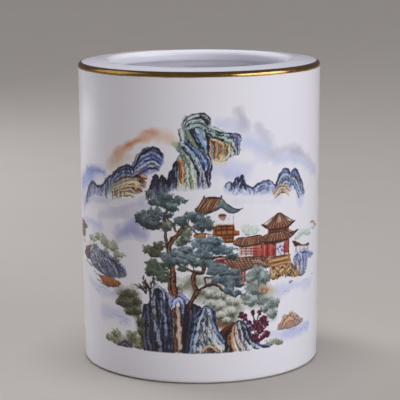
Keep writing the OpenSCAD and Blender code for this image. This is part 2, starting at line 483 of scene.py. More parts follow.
# %% [markdown]
# ## A canvas that wraps round the wall
#
# On the real pot the landscape is overglaze enamel: coloured glass powders printed as a transfer,
# laid on the fired glaze and melted on in a second, cooler firing. There is no picture file here, so
# the landscape is painted in code, the way an enameller works: soft washes first, then filled shapes,
# then brush strokes, then dabs. The canvas is a sheet of points, unrolled from the wall: `across` is
# the distance round the wall in millimetres from the middle of the front, and `upward` is the height.
# Later each point becomes a vertex of a thin skin on the wall and carries its colour there.

# %% The canvas
PITCH = 0.2                          # mm between neighbouring points
across = np.arange(-73.0, 73.0 + PITCH / 2, PITCH)
upward = np.arange(11.8, 113.0 + PITCH / 2, PITCH)

paint = np.ones((len(upward), len(across), 3)) * GLAZE_WHITE
cover = np.zeros(paint.shape[:2])    # how much of the glaze the enamel hides, 0 to 1
owner = np.full(paint.shape[:2], -1) # which motif each point belongs to
motifs = []                          # the motifs' names, in the order they are painted
print("canvas:", paint.shape[1], "by", paint.shape[0], "points")


# %% Noise that makes a wash uneven
def cloudy(size, seed):
    """Smooth random values from 0 to 1 over the whole canvas, with blotches about size mm wide."""
    rows = int(np.ptp(upward) / size) + 3
    columns = int(np.ptp(across) / size) + 3
    knots = np.random.default_rng(seed).random((rows, columns))
    u, v = (across - across[0]) / size, (upward - upward[0]) / size
    i, j = u.astype(int), v.astype(int)
    fu, fv = u - i, (v - j)[:, None]
    fu, fv = fu * fu * (3 - 2 * fu), fv * fv * (3 - 2 * fv)
    low = knots[j][:, i] * (1 - fu) + knots[j][:, i + 1] * fu
    high = knots[j + 1][:, i] * (1 - fu) + knots[j + 1][:, i + 1] * fu
    return low * (1 - fv) + high * fv


fine, middling = cloudy(0.5, 1), cloudy(1.6, 2)
billows = 0.5 * cloudy(9, 4) + 0.3 * cloudy(4, 5) + 0.2 * cloudy(2, 6)
sway = 0.6 * (cloudy(1.5, 7) - 0.5) + 0.3 * (cloudy(0.6, 8) - 0.5)      # mm, the hand's unsteadiness
bob = 0.6 * (cloudy(1.5, 9) - 0.5) + 0.3 * (cloudy(0.6, 10) - 0.5)
FREE, RULED = 1.0, 0.3
hand = {"sway": FREE}                # a free hand sways more than one steadied by a ruler
print("noise from", round(float(fine.min()), 2), "to", round(float(fine.max()), 2))


# %% Curves through given points
def curve(points, closed=False, spacing=0.5):
    """A smooth line through the points, as an array of close-set positions."""
    p = np.array(points, float)
    if closed:
        p = np.vstack([p[-1], p, p[:2]])
    else:
        p = np.vstack([2 * p[0] - p[1], p, 2 * p[-1] - p[-2]])
    pieces = []
    for a, b, c, d in zip(p[:-3], p[1:-2], p[2:-1], p[3:]):
        n = max(2, int(np.hypot(*(c - b)) / spacing) + 1)
        t = np.linspace(0, 1, n, endpoint=False)[:, None]
        pieces.append(b + t * (c - a) / 2 + t**2 * (a - 2.5 * b + 2 * c - d / 2) + t**3
            * (-a / 2 + 1.5 * b - 1.5 * c + d / 2))
    return np.vstack(pieces + ([] if closed else [p[-2:-1]]))


def patch(path, margin):
    """The part of the canvas within margin mm of a path, as a pair of slices."""
    low, high = path.min(0) - margin, path.max(0) + margin
    i = np.searchsorted(across, [low[0], high[0]])
    j = np.searchsorted(upward, [low[1], high[1]])
    return slice(j[0], j[1]), slice(i[0], i[1])


def swayed(where):
    """The positions of a patch's points, moved a little as an unsteady hand moves a line."""
    x, z = across[where[1]][None, :], upward[where[0]][:, None]
    return x + hand["sway"] * sway[where], z + hand["sway"] * bob[where]


def measure(path, where):
    """For each point of a patch: its distance to the path, how far along the path it is from 0 to 1,
    and on which side of it, 1 for the left of its run or -1."""
    x, z = swayed(where)
    best = np.full(x.shape, 1e9)
    along, side = np.zeros_like(best), np.ones_like(best)
    for k in range(len(path) - 1):
        (ax, az), (dx, dz) = path[k], path[k + 1] - path[k]
        t = np.clip(((x - ax) * dx + (z - az) * dz) / max(dx * dx + dz * dz, 1e-9), 0, 1)
        gap = (x - ax - t * dx) ** 2 + (z - az - t * dz) ** 2
        nearer = gap < best
        best = np.where(nearer, gap, best)
        along = np.where(nearer, (k + t) / (len(path) - 1), along)
        side = np.where(nearer, np.where(dx * (z - az) > dz * (x - ax), 1, -1), side)
    return np.sqrt(best), along, side


def inside(path, where):
    """True for each point of a patch that a closed path holds."""
    x, z = swayed(where)
    held = np.zeros(x.shape, bool)
    for (ax, az), (bx, bz) in zip(path, np.roll(path, -1, 0)):
        if az != bz:
            held ^= ((az > z) != (bz > z)) & (x < ax + (z - az) * (bx - ax) / (bz - az))
    return held


print("a curve through 3 points has", len(curve([(0, 0), (10, 5), (20, 0)])))


# %% Laying colour down
OWNS = 0.12                          # paint thicker than this belongs to the motif that laid it


def motif(name):
    """From here on, paint belongs to this motif."""
    motifs.append(name)


def tint(colour):
    """An 8-bit colour as an array from 0 to 1."""
    return np.array(colour, float) / 255


def lay(where, strength, colour):
    """Mix a colour over a patch of the canvas. strength is 0 to 1 for each point."""
    if strength.size == 0:
        return
    s = np.clip(strength, 0, 1)
    paint[where] += (colour - paint[where]) * s[..., None]
    cover[where] += (1 - cover[where]) * s
    here = owner[where]
    here[s > OWNS] = len(motifs) - 1


def painted(what):
    """Print how much of the canvas carries paint so far."""
    print(f"{what}: {(cover > 0.5).mean():.0%} of the canvas carries paint so far")


def ease(x):
    """0 below 0, 1 above 1, and a soft slope between."""
    x = np.clip(x, 0, 1)
    return x * x * (3 - 2 * x)


painted("an empty canvas")


# %% Washes, strokes and filled shapes
TINY = 1e-3
BARE = (240, 238, 243)                # the glaze left bare, as a colour


def pressed(along, taper):
    """How hard the brush is pressed along a stroke: less towards its start and its end."""
    start, end = max(taper[0], TINY), max(taper[1], TINY)
    return np.minimum(1, along / start) * np.minimum(1, (1 - along) / end)


def filled(half, gap):
    """1 within half mm of a path and 0 beyond, with an edge about a point wide."""
    return np.clip((half - gap) / (1.4 * PITCH) + 0.5, 0, 1)


def wash(points, width, colour, strength):
    """A soft cloud of colour along a path, densest at its middle and ragged at its edge."""
    path = curve(points, spacing=1.0) if len(points) > 1 else np.array(points * 2, float)
    where = patch(path, width * 1.8)
    gap = measure(path, where)[0]
    reach = gap / width * (1.35 - 0.9 * (billows[where] - 0.5)) - 0.8 * (billows[where] - 0.5)
    lay(where, strength * np.exp(-1.6 * np.clip(reach, 0, None) ** 2) * ease((1.8 - gap / width) * 2),
        tint(colour))


def stroke(points, width, colour, strength, taper=(0.25, 0.35), dry=0.35, straight=False):
    """One pull of the brush: full in the middle, thin at both ends, dry and broken in places."""
    path = np.array(points, float) if straight else curve(points)
    where = patch(path, width + 4 * PITCH)
    gap, along, _ = measure(path, where)
    fullness = 0.15 + 0.85 * np.sqrt(pressed(along, taper))
    half = width / 2 * fullness * (1 + 0.9 * (middling[where] - 0.5))
    broken = 1 - dry * ease(1.6 * fine[where] - 0.3) - 0.5 * dry * ease(2.5 * (middling[where] - 0.6))
    lay(where, strength * filled(half, gap) * broken,
        tint(colour) * (1 + 0.12 * (fine[where] - 0.5))[..., None])


def shape(points, top, low, edge=None, edge_width=1.0, strength=1.0, soft=0.3, smooth=True):
    """A filled shape. Its colour runs from top to low, and darkens or lightens to edge at its rim."""
    path = curve(points, closed=True) if smooth else np.array(points, float)
    where = patch(path, 1.0)
    gap = measure(np.vstack([path, path[:1]]), where)[0]
    depth = np.where(inside(path, where), gap, -gap) + 0.5 * (middling[where] - 0.5) * soft
    body = ease(depth / soft + 0.5)
    z = upward[where[0]][:, None] * np.ones_like(depth)
    colour = tint(top) * (1 + 0.14 * (fine[where] - 0.5) + 0.16 * (middling[where] - 0.5))[..., None]
    if low is not None:
        drop = (path[:, 1].max() - z) / np.ptp(path[:, 1])
        share = ease(drop + 0.9 * (middling[where] - 0.5))[..., None]
        colour = colour * (1 - share) + tint(low) * share
    if edge is not None:
        share = ease(1 - depth / edge_width + 0.5 * (middling[where] - 0.5))[..., None]
        colour = colour * (1 - share) + tint(edge) * share
    lay(where, strength * body, colour)


def fold(points, width, pair, strength, taper=(0.1, 0.22), dry=0.3, lit=0.35, shine=0.55):
    """A rounded fold of rock. pair is its light and dark colour: light along a ridge on its lit side,
    dark at both edges, with hairlines that follow it."""
    path = curve(points)
    where = patch(path, width + 4 * PITCH)
    gap, along, side = measure(path, where)
    fullness = 0.25 + 0.75 * np.sqrt(pressed(along, taper))
    half = width / 2 * fullness * (1 + 0.5 * (middling[where] - 0.5))
    turned_away = np.abs(gap * side / half - lit) / (1 + abs(lit))
    hairs = 0.26 * np.sin(13 * gap * side / width + 12 * middling[where] + 7 * along)
    rough = 0.6 * (fine[where] - 0.5) + 0.9 * (middling[where] - 0.5)
    shade = ease((turned_away - 0.12) / 0.85 + hairs + rough)[..., None]
    crown = shine * ease(1.1 - turned_away / 0.5 + 2.4 * (middling[where] - 0.62))
    crown = crown[..., None] * (1 - shade)
    fading = 1 - dry * ease(2.5 * (middling[where] - 0.55))
    colour = tint(pair[0]) * (1 - shade) + tint(pair[1]) * shade
    lay(where, strength * filled(half, gap) * fading, colour + (tint(BARE) - colour) * crown)


def between(upper, lower, count, width, colours, strength, bow=0.0, seed=0, ragged=0.15, brush=stroke):
    """Strokes combed from one line to another, as the folds of a cliff or the tiles of a roof."""
    rng = np.random.default_rng(seed)
    a, b = curve(upper), curve(lower)
    for k in range(count):
        t = (k + 0.5) / count + ragged * rng.normal() / count
        start = a[int(np.clip(t, 0, 1) * (len(a) - 1))]
        reach = 1 - ragged * abs(rng.normal())
        end = start + (b[int(np.clip(t, 0, 1) * (len(b) - 1))] - start) * reach
        bend = np.array([-(end - start)[1], (end - start)[0]]) * (bow + 0.3 * ragged * rng.normal())
        middle = (start + end) / 2 + bend
        brush([start, middle, end], width * rng.uniform(0.7, 1.25), colours[k % len(colours)],
            strength * rng.uniform(0.7, 1.0), dry=0.4)


def nested(points, shift, count, width, colours, strength, shrink=0.9, brush=stroke, **how):
    """The same curved stroke again and again, each one shifted and a little smaller."""
    p = np.array(points, float)
    for k in range(count):
        middle = p.mean(0)
        brush((p - middle) * shrink**k + middle + np.array(shift) * k, width, colours[k % len(colours)],
            strength, **how)


print("washes, strokes and shapes ready")


# %% Leaves
def dab(x, z, long, short, angle, colour, strength=0.9):
    """One touch of the brush's tip: a small oval."""
    path = np.array([[x, z]])
    where = patch(path, long + PITCH)
    u, v = across[where[1]][None, :] - x, upward[where[0]][:, None] - z
    c, s = math.cos(angle), math.sin(angle)
    radius = np.hypot((u * c + v * s) / long, (v * c - u * s) / short)
    lay(where, strength * np.clip((1 - radius) * short / PITCH + 0.3, 0, 1), tint(colour))


def fan(x, z, size, colour, strength, rng):
    """A pine twig: needles spread from one point."""
    lean = rng.normal(0, 0.25)
    for angle in np.linspace(-0.25, math.pi + 0.25, 9) + lean:
        reach = size * rng.uniform(0.75, 1.1)
        tip = [x + math.cos(angle) * reach, z + math.sin(angle) * reach * 0.75]
        stroke([[x, z], tip], 0.24, colour, strength, taper=(0.01, 0.6), dry=0.2, straight=True)


def clump(x, z, wide, tall, deep, pale, seed, strength, needles=True, lift=0.0):
    """A ragged cushion of foliage: pale above, dark beneath, with needles or leaves over both. More lift
    makes it paler."""
    rng = np.random.default_rng(seed)
    where = patch(np.array([[x, z]]), 1.5 * max(wide, tall))
    px, pz = swayed(where)
    u, v = (px - x) / wide, (pz - z) / tall
    lobes = 0.1 * np.sin((4 + wide) * np.arctan2(v, u) + rng.uniform(0, 6))
    edge = np.hypot(u, v) + 0.5 * (middling[where] - 0.5) + 0.45 * (fine[where] - 0.5) + lobes
    share = 0.5 + lift + 0.5 * v + 0.9 * (middling[where] - 0.5) + 0.5 * (fine[where] - 0.5)
    share = np.clip(share, 0, 1)[..., None]
    lay(where, strength * ease((1.08 - edge) / 0.3), tint(deep) * (1 - share) + tint(pale) * share)
    for k in range(int(wide * tall * (0.9 if needles else 2.6)) + 3):
        turn, out = rng.uniform(0, 2 * math.pi), math.sqrt(rng.random()) * 0.92
        lx, lz = x + wide * out * math.cos(turn), z + tall * out * math.sin(turn)
        high = np.clip((lz - z) / tall * 0.5 + 0.5 + lift + 0.25 * rng.normal(), 0, 1)
        colour = (np.array(deep) * (1 - high) + np.array(pale) * high) * rng.uniform(0.8, 1.08)
        if needles:
            fan(lx, lz, 0.9, colour, 0.55, rng)
        else:
            dab(lx, lz, 0.42, 0.3, rng.uniform(0, 3), colour, 0.5)
    for k in range(int(2 * wide)):
        lx = x + wide * rng.uniform(-0.75, 0.75)
        lz = z - tall * (0.3 + 0.45 * rng.random()) * math.sqrt(max(0.1, 1 - ((lx - x) / wide) ** 2))
        dab(lx, lz, 0.55, 0.24, 0.3 * rng.normal(), np.array(deep) * 0.62, 0.5 * strength)


def shrubs(places, deep, pale, strength):
    """Leafy cushions. Each place is its x, z, width, height and seed."""
    for x, z, wide, tall, seed in places:
        clump(x, z, wide, tall, deep, pale, seed, strength, needles=False)


def folds(rows, strength, **how):
    """A bundle of folds. Each row is a line, a width and a pair of colours."""
    for line, width, pair in rows:
        fold(line, width, pair, strength, **how)


print("brushes ready")

# %% [markdown]
# ## The palette
#
# The enameller works from a small set of powders: cobalt and violet-blue for the rocks, a thin
# celadon and an ochre over them, iron red and coral for the timber, a rose purple for the plum, and
# a teal grey for the pines. The colours that many motifs share are named here. A fold of rock takes a
# pair, its light colour and its dark one. Mixed shades are given where they are used.

# %% The palette
INK, COBALT = (40, 42, 66), (62, 78, 138)
SLATE, SKY = (88, 104, 136), (168, 186, 226)
UMBER, RUST, OCHRE = (84, 48, 34), (156, 92, 44), (206, 156, 92)
SAND, CREAM, CORAL = (226, 198, 158), (226, 220, 188), (222, 122, 104)
MIST, PERIWINKLE = (196, 192, 214), (188, 196, 240)
PINE, PINE_LIGHT = (66, 82, 88), (134, 150, 156)
OLIVE, OLIVE_LIGHT = (92, 92, 66), (146, 148, 116)
# a fold's light and dark
NIGHT, STORM = ((112, 120, 156), (28, 28, 52)), ((126, 124, 164), (48, 40, 72))
STEEL, GLACIER = ((132, 152, 202), (42, 50, 92)), ((178, 198, 216), (60, 76, 110))
JADE, PALE = ((178, 202, 194), (58, 82, 92)), ((214, 222, 206), (104, 120, 112))
EARTH, AMBER = ((224, 172, 118), (108, 60, 36)), ((232, 220, 178), (150, 112, 70))
print("palette ready")

# %% [markdown]
# ## Far things first: mist, cloud and sunrise
#
# Distance in this style is shown by leaving things out. The farthest layers are washes with no
# outline, so these are wide soft strokes whose edges the noise breaks up.

# %% Sunrise cloud, haze and mist
motif("enamel_left_mist")
wash([(-68, 72), (-62, 77), (-55, 80.5), (-46, 83)], 6.4, PERIWINKLE, 0.75)
wash([(-66, 75.6), (-61, 78.6), (-54, 81)], 4.2, (138, 162, 228), 0.75)
wash([(-58, 82), (-51, 83), (-44, 83)], 2.6, (122, 140, 208), 0.75)
wash([(-64, 66), (-60, 70), (-56, 73)], 4.2, (186, 186, 232), 0.6)
wash([(-60, 69), (-48, 70.5), (-36, 70.5), (-22, 73)], 4.6, (180, 174, 206), 0.6)
wash([(-48, 65), (-36, 67), (-27, 68)], 3.4, MIST, 0.5)
wash([(-35, 59), (-29, 60.4), (-23.6, 59.8)], 6.0, (138, 138, 198), 0.55)
wash([(-31, 61), (-27, 62)], 3.6, (142, 144, 204), 0.4)
wash([(-64, 60), (-56, 61), (-48, 60.4)], 3.4, (180, 186, 232), 0.6)

motif("enamel_sunrise_cloud")
wash([(-41, 86), (-36, 89), (-30, 90.6)], 4.4, (222, 204, 188), 0.55)
wash([(-39, 88.6), (-34, 92), (-29, 94.4)], 4.0, (224, 182, 152), 0.55)
wash([(-35, 91.5), (-30, 95), (-26, 97), (-22, 98.6)], 3.8, (222, 160, 118), 0.6)
wash([(-24, 98.6), (-19, 100.2), (-12, 98.8)], 4.0, (230, 182, 150), 0.55)
wash([(-31, 94.4), (-27, 96.8), (-25, 97.6)], 2.2, (208, 124, 80), 0.55)
wash([(-21.6, 101), (-18, 101)], 2.0, (212, 140, 100), 0.45)

motif("enamel_right_mist")
wash([(8, 104.5), (16, 104)], 3.8, (198, 204, 238), 0.5)
wash([(15, 109.6), (16.6, 107), (18, 103.5)], 3.4, (190, 184, 204), 0.65)
wash([(24, 102.6), (26, 99.4), (28.5, 96)], 3.4, (196, 194, 212), 0.6)
wash([(17, 96), (22, 95.5), (29, 93)], 6.4, (206, 214, 242), 0.6)
wash([(20, 97), (25, 94.6)], 3.4, (192, 202, 240), 0.4)
wash([(31, 91), (38, 92.4), (45, 90.5), (53, 86.5), (62, 80)], 4.0, (200, 196, 212), 0.6)
wash([(33, 88.5), (41, 88.5), (49, 86), (57, 82)], 4.2, (196, 204, 238), 0.6)
wash([(41, 91), (45, 90.6), (49, 88.6)], 1.8, (184, 176, 190), 0.4)
wash([(6, 86), (12, 87.5), (18, 86)], 5.2, (206, 214, 242), 0.65)
wash([(11, 84.5), (15, 83.4)], 3.4, PERIWINKLE, 0.5)
wash([(45.5, 77), (47.5, 70)], 3.6, (200, 202, 242), 0.6)
wash([(14, 74), (24, 74.6), (34, 73)], 3.2, (210, 214, 240), 0.5)
painted("sunrise cloud, haze and mist")

# %% [markdown]
# ## Ridges and the great peak
#
# A mountain here is a bundle of rounded folds, like ropes laid side by side: each is pale along its
# ridge and dark where it turns away. `fold` paints one, `between` combs a row of them from a crest to
# a foot, and `nested` repeats a bent one. A broken line of ink sharpens the crest, and a veil of bare
# white over the foot lets the mountain stand in mist.

# %% A veil over a mountain's foot
def veil(points, width, strength):
    """Bare white laid softly over a foot."""
    wash(points, width, BARE, strength)


print("veils ready")


# %% The ridge on the left
motif("enamel_left_ridge")
crest = [(-62.6, 66.6), (-60.5, 70.5), (-58.5, 73.4), (-55.5, 76.5), (-52.5, 78), (-49.5, 76.8),
    (-45.5, 77), (-42.5, 80), (-40, 82), (-37.5, 82.8), (-35, 85.5), (-31, 87), (-27.5, 86.6),
    (-25, 90.5), (-23, 93), (-20.5, 93.8), (-18.5, 95), (-16.3, 93.6), (-14.3, 91)]
shape(crest + [(-15.6, 87), (-20, 84.4), (-27, 82), (-34, 78), (-40, 74.5), (-46, 72.4), (-53, 72.6),
    (-60, 66.8)], (118, 132, 182), (196, 204, 232), soft=1.6, strength=0.85)
between([(-60.6, 70), (-56, 76), (-52, 77.6), (-46, 76.8), (-42, 80), (-38, 82.6), (-34, 86)],
    [(-62, 65.6), (-57.4, 70), (-52.6, 71.6), (-47.4, 71.4), (-42.6, 73), (-39, 75.6), (-34.6, 79)], 30,
    1.25, [STEEL, NIGHT, STEEL, GLACIER, STEEL], 0.85, bow=0.1, seed=11, ragged=0.3, brush=fold)
nested([(-38.2, 79.7), (-31, 82.6), (-25.4, 83.6), (-21.4, 82.6)], (-0.75, -1.5), 6, 1.75,
    [EARTH, ((206, 178, 128), (96, 54, 34)), AMBER], 0.95, shrink=0.93, brush=fold, taper=(0.3, 0.1))
between([(-27, 83.6), (-24.6, 80.4), (-28, 77)], [(-22, 82), (-21.6, 79), (-25.4, 75.4)], 9, 0.8,
    [UMBER, RUST], 0.75, seed=14)
wash([(-42, 76), (-38, 78.4), (-33.6, 80)], 1.9, (150, 164, 140), 0.6)
between([(-45, 75.6), (-39, 76.6), (-31, 76.4)], [(-44.6, 71.6), (-39, 72), (-31, 73)], 15, 0.7,
    [(112, 100, 84), (214, 206, 186), UMBER], 0.75, seed=13, ragged=0.35)
for k, (drop, pair) in enumerate([(0, NIGHT), (1.9, STEEL), (3.7, ((116, 132, 196), (44, 44, 92))),
        (5.4, GLACIER), (7.0, STORM)]):
    fold([(-28.6 - 0.3 * k, 86.2 - 0.55 * drop), (-24.8, 91.4 - drop), (-21.6, 93.6 - drop),
        (-18.4, 94.2 - drop), (-14.2 - 0.55 * k, 91.4 - 0.75 * drop)], 1.75, pair, 0.95,
        taper=(0.2, 0.2))
nested([(-39.6, 81.4), (-36, 84), (-31.6, 86), (-27.4, 85.4)], (0.1, -1.3), 3, 1.4,
    [NIGHT, STEEL, STORM], 0.9, brush=fold)
stroke(crest, 1.0, INK, 0.92, taper=(0.2, 0.06))
stroke([(-60.4, 69.4), (-58.4, 73), (-55.5, 76), (-52.6, 77.5), (-49.5, 76.4), (-45, 76.8)], 1.5,
    (40, 44, 92), 0.85)
between([(-36, 84.8), (-31, 86.6), (-27, 86.4)], [(-35, 82.6), (-30.5, 84), (-27, 84)], 9, 0.8,
    [INK, COBALT], 0.85, seed=12)
veil([(-62, 63.6), (-54, 68.6), (-46, 69), (-36, 71.4), (-27, 73)], 2.6, 0.75)
painted("the ridge on the left")

# %% The ridge on the right
motif("enamel_right_ridge")
crest = [(10, 80.3), (11.8, 81.2), (13.2, 80.4), (14.6, 83), (15.6, 81.5), (17, 84), (17.4, 80.6),
    (19, 79.6), (21.5, 78.6), (24, 80), (27, 81), (30, 80.4), (32.3, 78.6), (34.2, 82), (36.6, 84.6),
    (39, 83.8), (40.6, 82.4), (42.8, 83.9), (45, 82.4), (47, 80), (49.2, 77), (50.8, 73)]
foot = [(9.5, 78), (14, 75.8), (19, 76), (24, 75), (29, 75.6), (32.5, 74.5), (37, 76.5), (42, 75.5),
    (45.5, 73.5), (50, 71)]
shape(crest + foot[::-1], (160, 176, 218), (214, 220, 244), soft=1.2, strength=0.8)
between(crest, foot, 44, 1.0, [STEEL, GLACIER, ((150, 162, 212), (66, 70, 118)), GLACIER], 0.8,
    bow=0.15, seed=21, ragged=0.35, brush=fold)
nested([(32.6, 78.4), (34.6, 82.4), (37, 83.8), (39.8, 82.6), (41, 79)], (0.3, -1.35), 4, 1.3,
    [STEEL, GLACIER, NIGHT, GLACIER], 0.85, brush=fold)
nested([(40.4, 81.4), (42.8, 83.2), (45.2, 82), (47.6, 78.6), (50.2, 73.4)], (-0.75, -1.25), 4, 1.3,
    [STEEL, NIGHT, GLACIER, STEEL], 0.85, brush=fold)
nested([(30.8, 75.2), (34, 78), (37, 77.8), (40.4, 75.4)], (0.2, -1.1), 3, 1.1, [EARTH, AMBER, EARTH],
    0.85, brush=fold)
nested([(22.6, 79), (25, 80.2), (27.6, 80.4), (30, 79)], (0, -1.2), 3, 0.9, [STEEL, GLACIER, STEEL],
    0.8, brush=fold)
stroke(crest, 0.75, (50, 56, 96), 0.95, taper=(0.1, 0.08))
between([(13, 80.8), (14.6, 83.4), (17.2, 84.2), (18.4, 80)],
    [(12.4, 77.4), (14, 78), (16.4, 78), (19, 77.4)], 12, 0.6, [(56, 60, 98), INK], 0.85, seed=22)
veil([(10, 75.6), (20, 74.4), (30, 73.6)], 1.9, 0.7)
painted("the ridge on the right")

# %% The crags at the foot of the peak
motif("enamel_peak")
crag_top = [(-21.5, 77), (-20, 79), (-18.6, 83.4), (-17.4, 84), (-16, 82.4), (-14.8, 84.2),
    (-13.2, 81.6), (-12.2, 84), (-11, 86.2), (-9.4, 89.8), (-8.4, 90.5)]
crag_foot = [(-22, 73.4), (-19, 74), (-16.5, 75), (-14.5, 75.6), (-12.5, 76.6), (-10.6, 77.4),
    (-8.6, 78)]
shape(crag_top + crag_foot[::-1], (104, 100, 134), (190, 194, 222), soft=1.0, strength=0.85)
between(crag_top, crag_foot, 24, 1.35, [STORM, NIGHT, STORM, GLACIER], 0.92, seed=31, ragged=0.25,
    brush=fold)
between(crag_top, [(-20, 78), (-16, 79), (-12, 80), (-9, 84)], 22, 0.7, [(44, 38, 62), INK], 0.85,
    seed=30)
stroke(crag_top, 0.8, (44, 38, 62), 0.9, taper=(0.15, 0.1))
veil([(-22, 73), (-16, 74.8), (-10, 76.8)], 2.4, 0.8)
painted("the crags at the foot of the peak")

# %% The great peak
peak = [(-9.2, 78.6), (-9.2, 84), (-8.8, 88), (-8.7, 91), (-7.8, 93), (-9.4, 94.4), (-9.2, 96),
    (-7.6, 97.6), (-7.7, 102), (-6.6, 103), (-6.5, 105), (-5, 107), (-2.4, 108.3), (1, 108.6),
    (3.4, 107.2), (3.9, 104.8), (5.2, 102.8), (8.5, 101), (12, 100.6), (15.2, 100.3), (16.6, 98.4),
    (15.4, 96.6), (14.6, 94.6), (15.6, 92.4), (13, 91.6), (9.5, 89.8), (6, 90), (3.8, 91.4),
    (3.6, 89.6), (4.6, 87), (3.7, 84.4), (4.1, 80.6), (2.6, 79.2), (-1, 78.8), (-5, 78.2)]
shape(peak, (150, 172, 172), (206, 214, 204), soft=0.7, strength=0.97, edge=(96, 112, 124),
    edge_width=0.7)
wash([(-10, 96.6), (-8, 96)], 1.4, (164, 186, 146), 0.8)
peak_folds = [
    # the pale left flank and its rust-coloured face
    ([(-8.7, 91), (-8.7, 86), (-8.9, 79)], 1.3, ((160, 158, 138), (78, 70, 72))),
    ([(-8.2, 97.4), (-7, 94.4), (-5.4, 90), (-4.9, 85), (-4.8, 78.6)], 2.5, PALE),
    ([(-7.8, 90.4), (-7.2, 86), (-7, 81)], 2.3, ((226, 164, 106), (132, 66, 36))),
    ([(-7.4, 102.8), (-7, 99.6), (-6.6, 96.4)], 2.0, ((206, 214, 202), (104, 116, 106))),
    ([(-7.6, 97.2), (-5.4, 94), (-3.8, 89.4), (-2.9, 84), (-2.4, 78.8)], 2.6, PALE),
    ([(-4, 84), (-3.4, 81), (-3.4, 78.8)], 1.3, ((150, 156, 110), (74, 78, 50))),
    # blue folds down the middle
    ([(-0.6, 86.4), (-0.3, 83), (-0.6, 78.6)], 1.6, STORM),
    ([(1.2, 86), (1.4, 82), (1.4, 78.6)], 1.6, ((160, 162, 204), (54, 50, 86))),
    ([(2.8, 86), (3.2, 82.4), (3.8, 79.6)], 1.5, STORM),
    ([(0.6, 93.6), (3, 91), (4, 87.6), (3.4, 84.4), (3.7, 80.4)], 1.9, ((122, 128, 180), (38, 38, 70))),
    ([(-6.6, 96.2), (-4, 93.6), (-2, 90.4), (-0.6, 87.6), (0.2, 84)], 2.2,
        ((158, 184, 204), (44, 56, 92))),
    ([(-5.6, 98), (-3, 95.6), (-0.2, 92.4), (1.6, 89.4), (2.2, 86)], 2.4,
        ((120, 146, 206), (34, 40, 84))),
    ([(-5.2, 101.8), (-4.4, 98.8), (-2.2, 96.4), (0.2, 94.6), (2.4, 92.6)], 1.7,
        ((150, 166, 140), (44, 52, 58))),
    # the slab under the cap, between two clefts
    ([(-2.2, 103), (-0.4, 100.4), (1.2, 97.4), (2.2, 94.6)], 2.7, ((146, 176, 214), (40, 54, 86))),
    ([(-3.6, 103), (-2.8, 100), (-0.9, 97), (0.4, 94.8)], 1.3, ((60, 70, 90), (24, 28, 48))),
    ([(2.8, 101.2), (3.6, 97.8), (3, 93.6)], 1.7, ((66, 80, 92), (28, 36, 52))),
    # the warm hanging rocks under the shoulder
    ([(4, 99), (3.9, 96), (3.8, 93), (4.6, 90.8)], 1.7, ((204, 134, 84), (84, 40, 24))),
    ([(5, 98.6), (6.4, 96.8), (6.4, 93.6), (6, 90.4)], 2.0, EARTH),
    ([(11.6, 97), (12.9, 94.4), (12.6, 91.4)], 1.6, ((196, 208, 182), (104, 116, 100))),
    ([(9.8, 97.6), (11.4, 95.6), (11.3, 92.8), (10.4, 90.6)], 2.2, AMBER),
    ([(7.2, 97.6), (8.8, 95.6), (8.6, 92.6), (7.8, 90)], 2.1, ((232, 196, 136), (134, 76, 40))),
    # the long shoulder that reaches right
    ([(12.6, 97.2), (13.9, 94.6), (14.4, 91.8)], 1.7, JADE),
    ([(13.8, 97.2), (15.2, 94.8), (15.5, 92.4)], 1.4, STORM),
    ([(-4.6, 102.4), (-1, 104), (2.4, 102.6), (5.6, 100.2), (9.6, 98.4), (12.6, 97), (13.6, 95)], 2.1,
        JADE),
    ([(-5.8, 103), (-4.6, 105), (-1.4, 105.8), (2, 104.8), (5, 102.4), (8.8, 100.6), (12, 99.6),
        (14.8, 98.6)], 2.3, ((190, 210, 208), (48, 70, 84))),
    ([(11.6, 100.2), (13.8, 99.4), (15.8, 98), (15.2, 95.6)], 1.7, ((144, 144, 194), (64, 58, 98))),
    # the cap
    ([(-6.4, 103), (-6, 105.4), (-3.8, 107), (-0.8, 107.6), (1.4, 106.8)], 2.3,
        ((212, 218, 222), (44, 46, 68))),
    ([(0.4, 108), (2.6, 107), (3.6, 105.2), (4, 103.6)], 2.3, ((160, 166, 180), (28, 28, 46))),
]
folds(peak_folds, 0.97)
painted("the great peak")

# %% Ink over the peak
for line, width in [([(-6.5, 102.8), (-6.4, 105), (-4.8, 107), (-2, 108.2), (1.4, 108.5), (3.6, 107),
        (4.2, 104.2)], 0.6), ([(4.4, 102.6), (8.6, 100.9), (12, 100.5), (15.4, 100), (16.4, 98.2)],
        0.6), ([(-3.2, 102.8), (-2.6, 100.2), (-0.8, 97.2), (0.8, 95), (2, 93.2)], 0.7),
        ([(2.2, 101), (6, 98.9), (10, 97.4), (12.4, 95.4)], 0.45),
        ([(3.3, 99.4), (3.2, 95), (3.6, 91.6)], 0.5), ([(-5.6, 93.6), (-3, 90), (-1, 86.2), (-0.4, 83)],
        0.5), ([(3.6, 92), (4.7, 88), (4, 84.4), (4.2, 80.6)], 0.6),
        ([(-8.9, 91), (-9.1, 86), (-9, 80)], 0.45)]:
    stroke(line, width, (36, 38, 60), 0.9)
between([(-8, 90), (-6.4, 89.6)], [(-8, 82.4), (-6.2, 82.8)], 4, 0.5, [(112, 58, 32), OCHRE], 0.8,
    seed=36)
between([(0.6, 108), (3.8, 105.6)], [(1.4, 105.8), (4.4, 103.4)], 6, 0.5,
    [(28, 28, 42), (104, 108, 126)], 0.85, seed=32)
between([(12.8, 100.2), (16.4, 98.8)], [(13.2, 96.6), (15.4, 95.4)], 6, 0.45,
    [(56, 50, 86), (160, 164, 204)], 0.8, seed=33)
between([(4.4, 98), (7, 97.4), (12.6, 97)], [(4.6, 91.6), (7.6, 91), (12.4, 92)], 12, 0.4,
    [UMBER, (120, 72, 44)], 0.7, seed=34, bow=0.08)
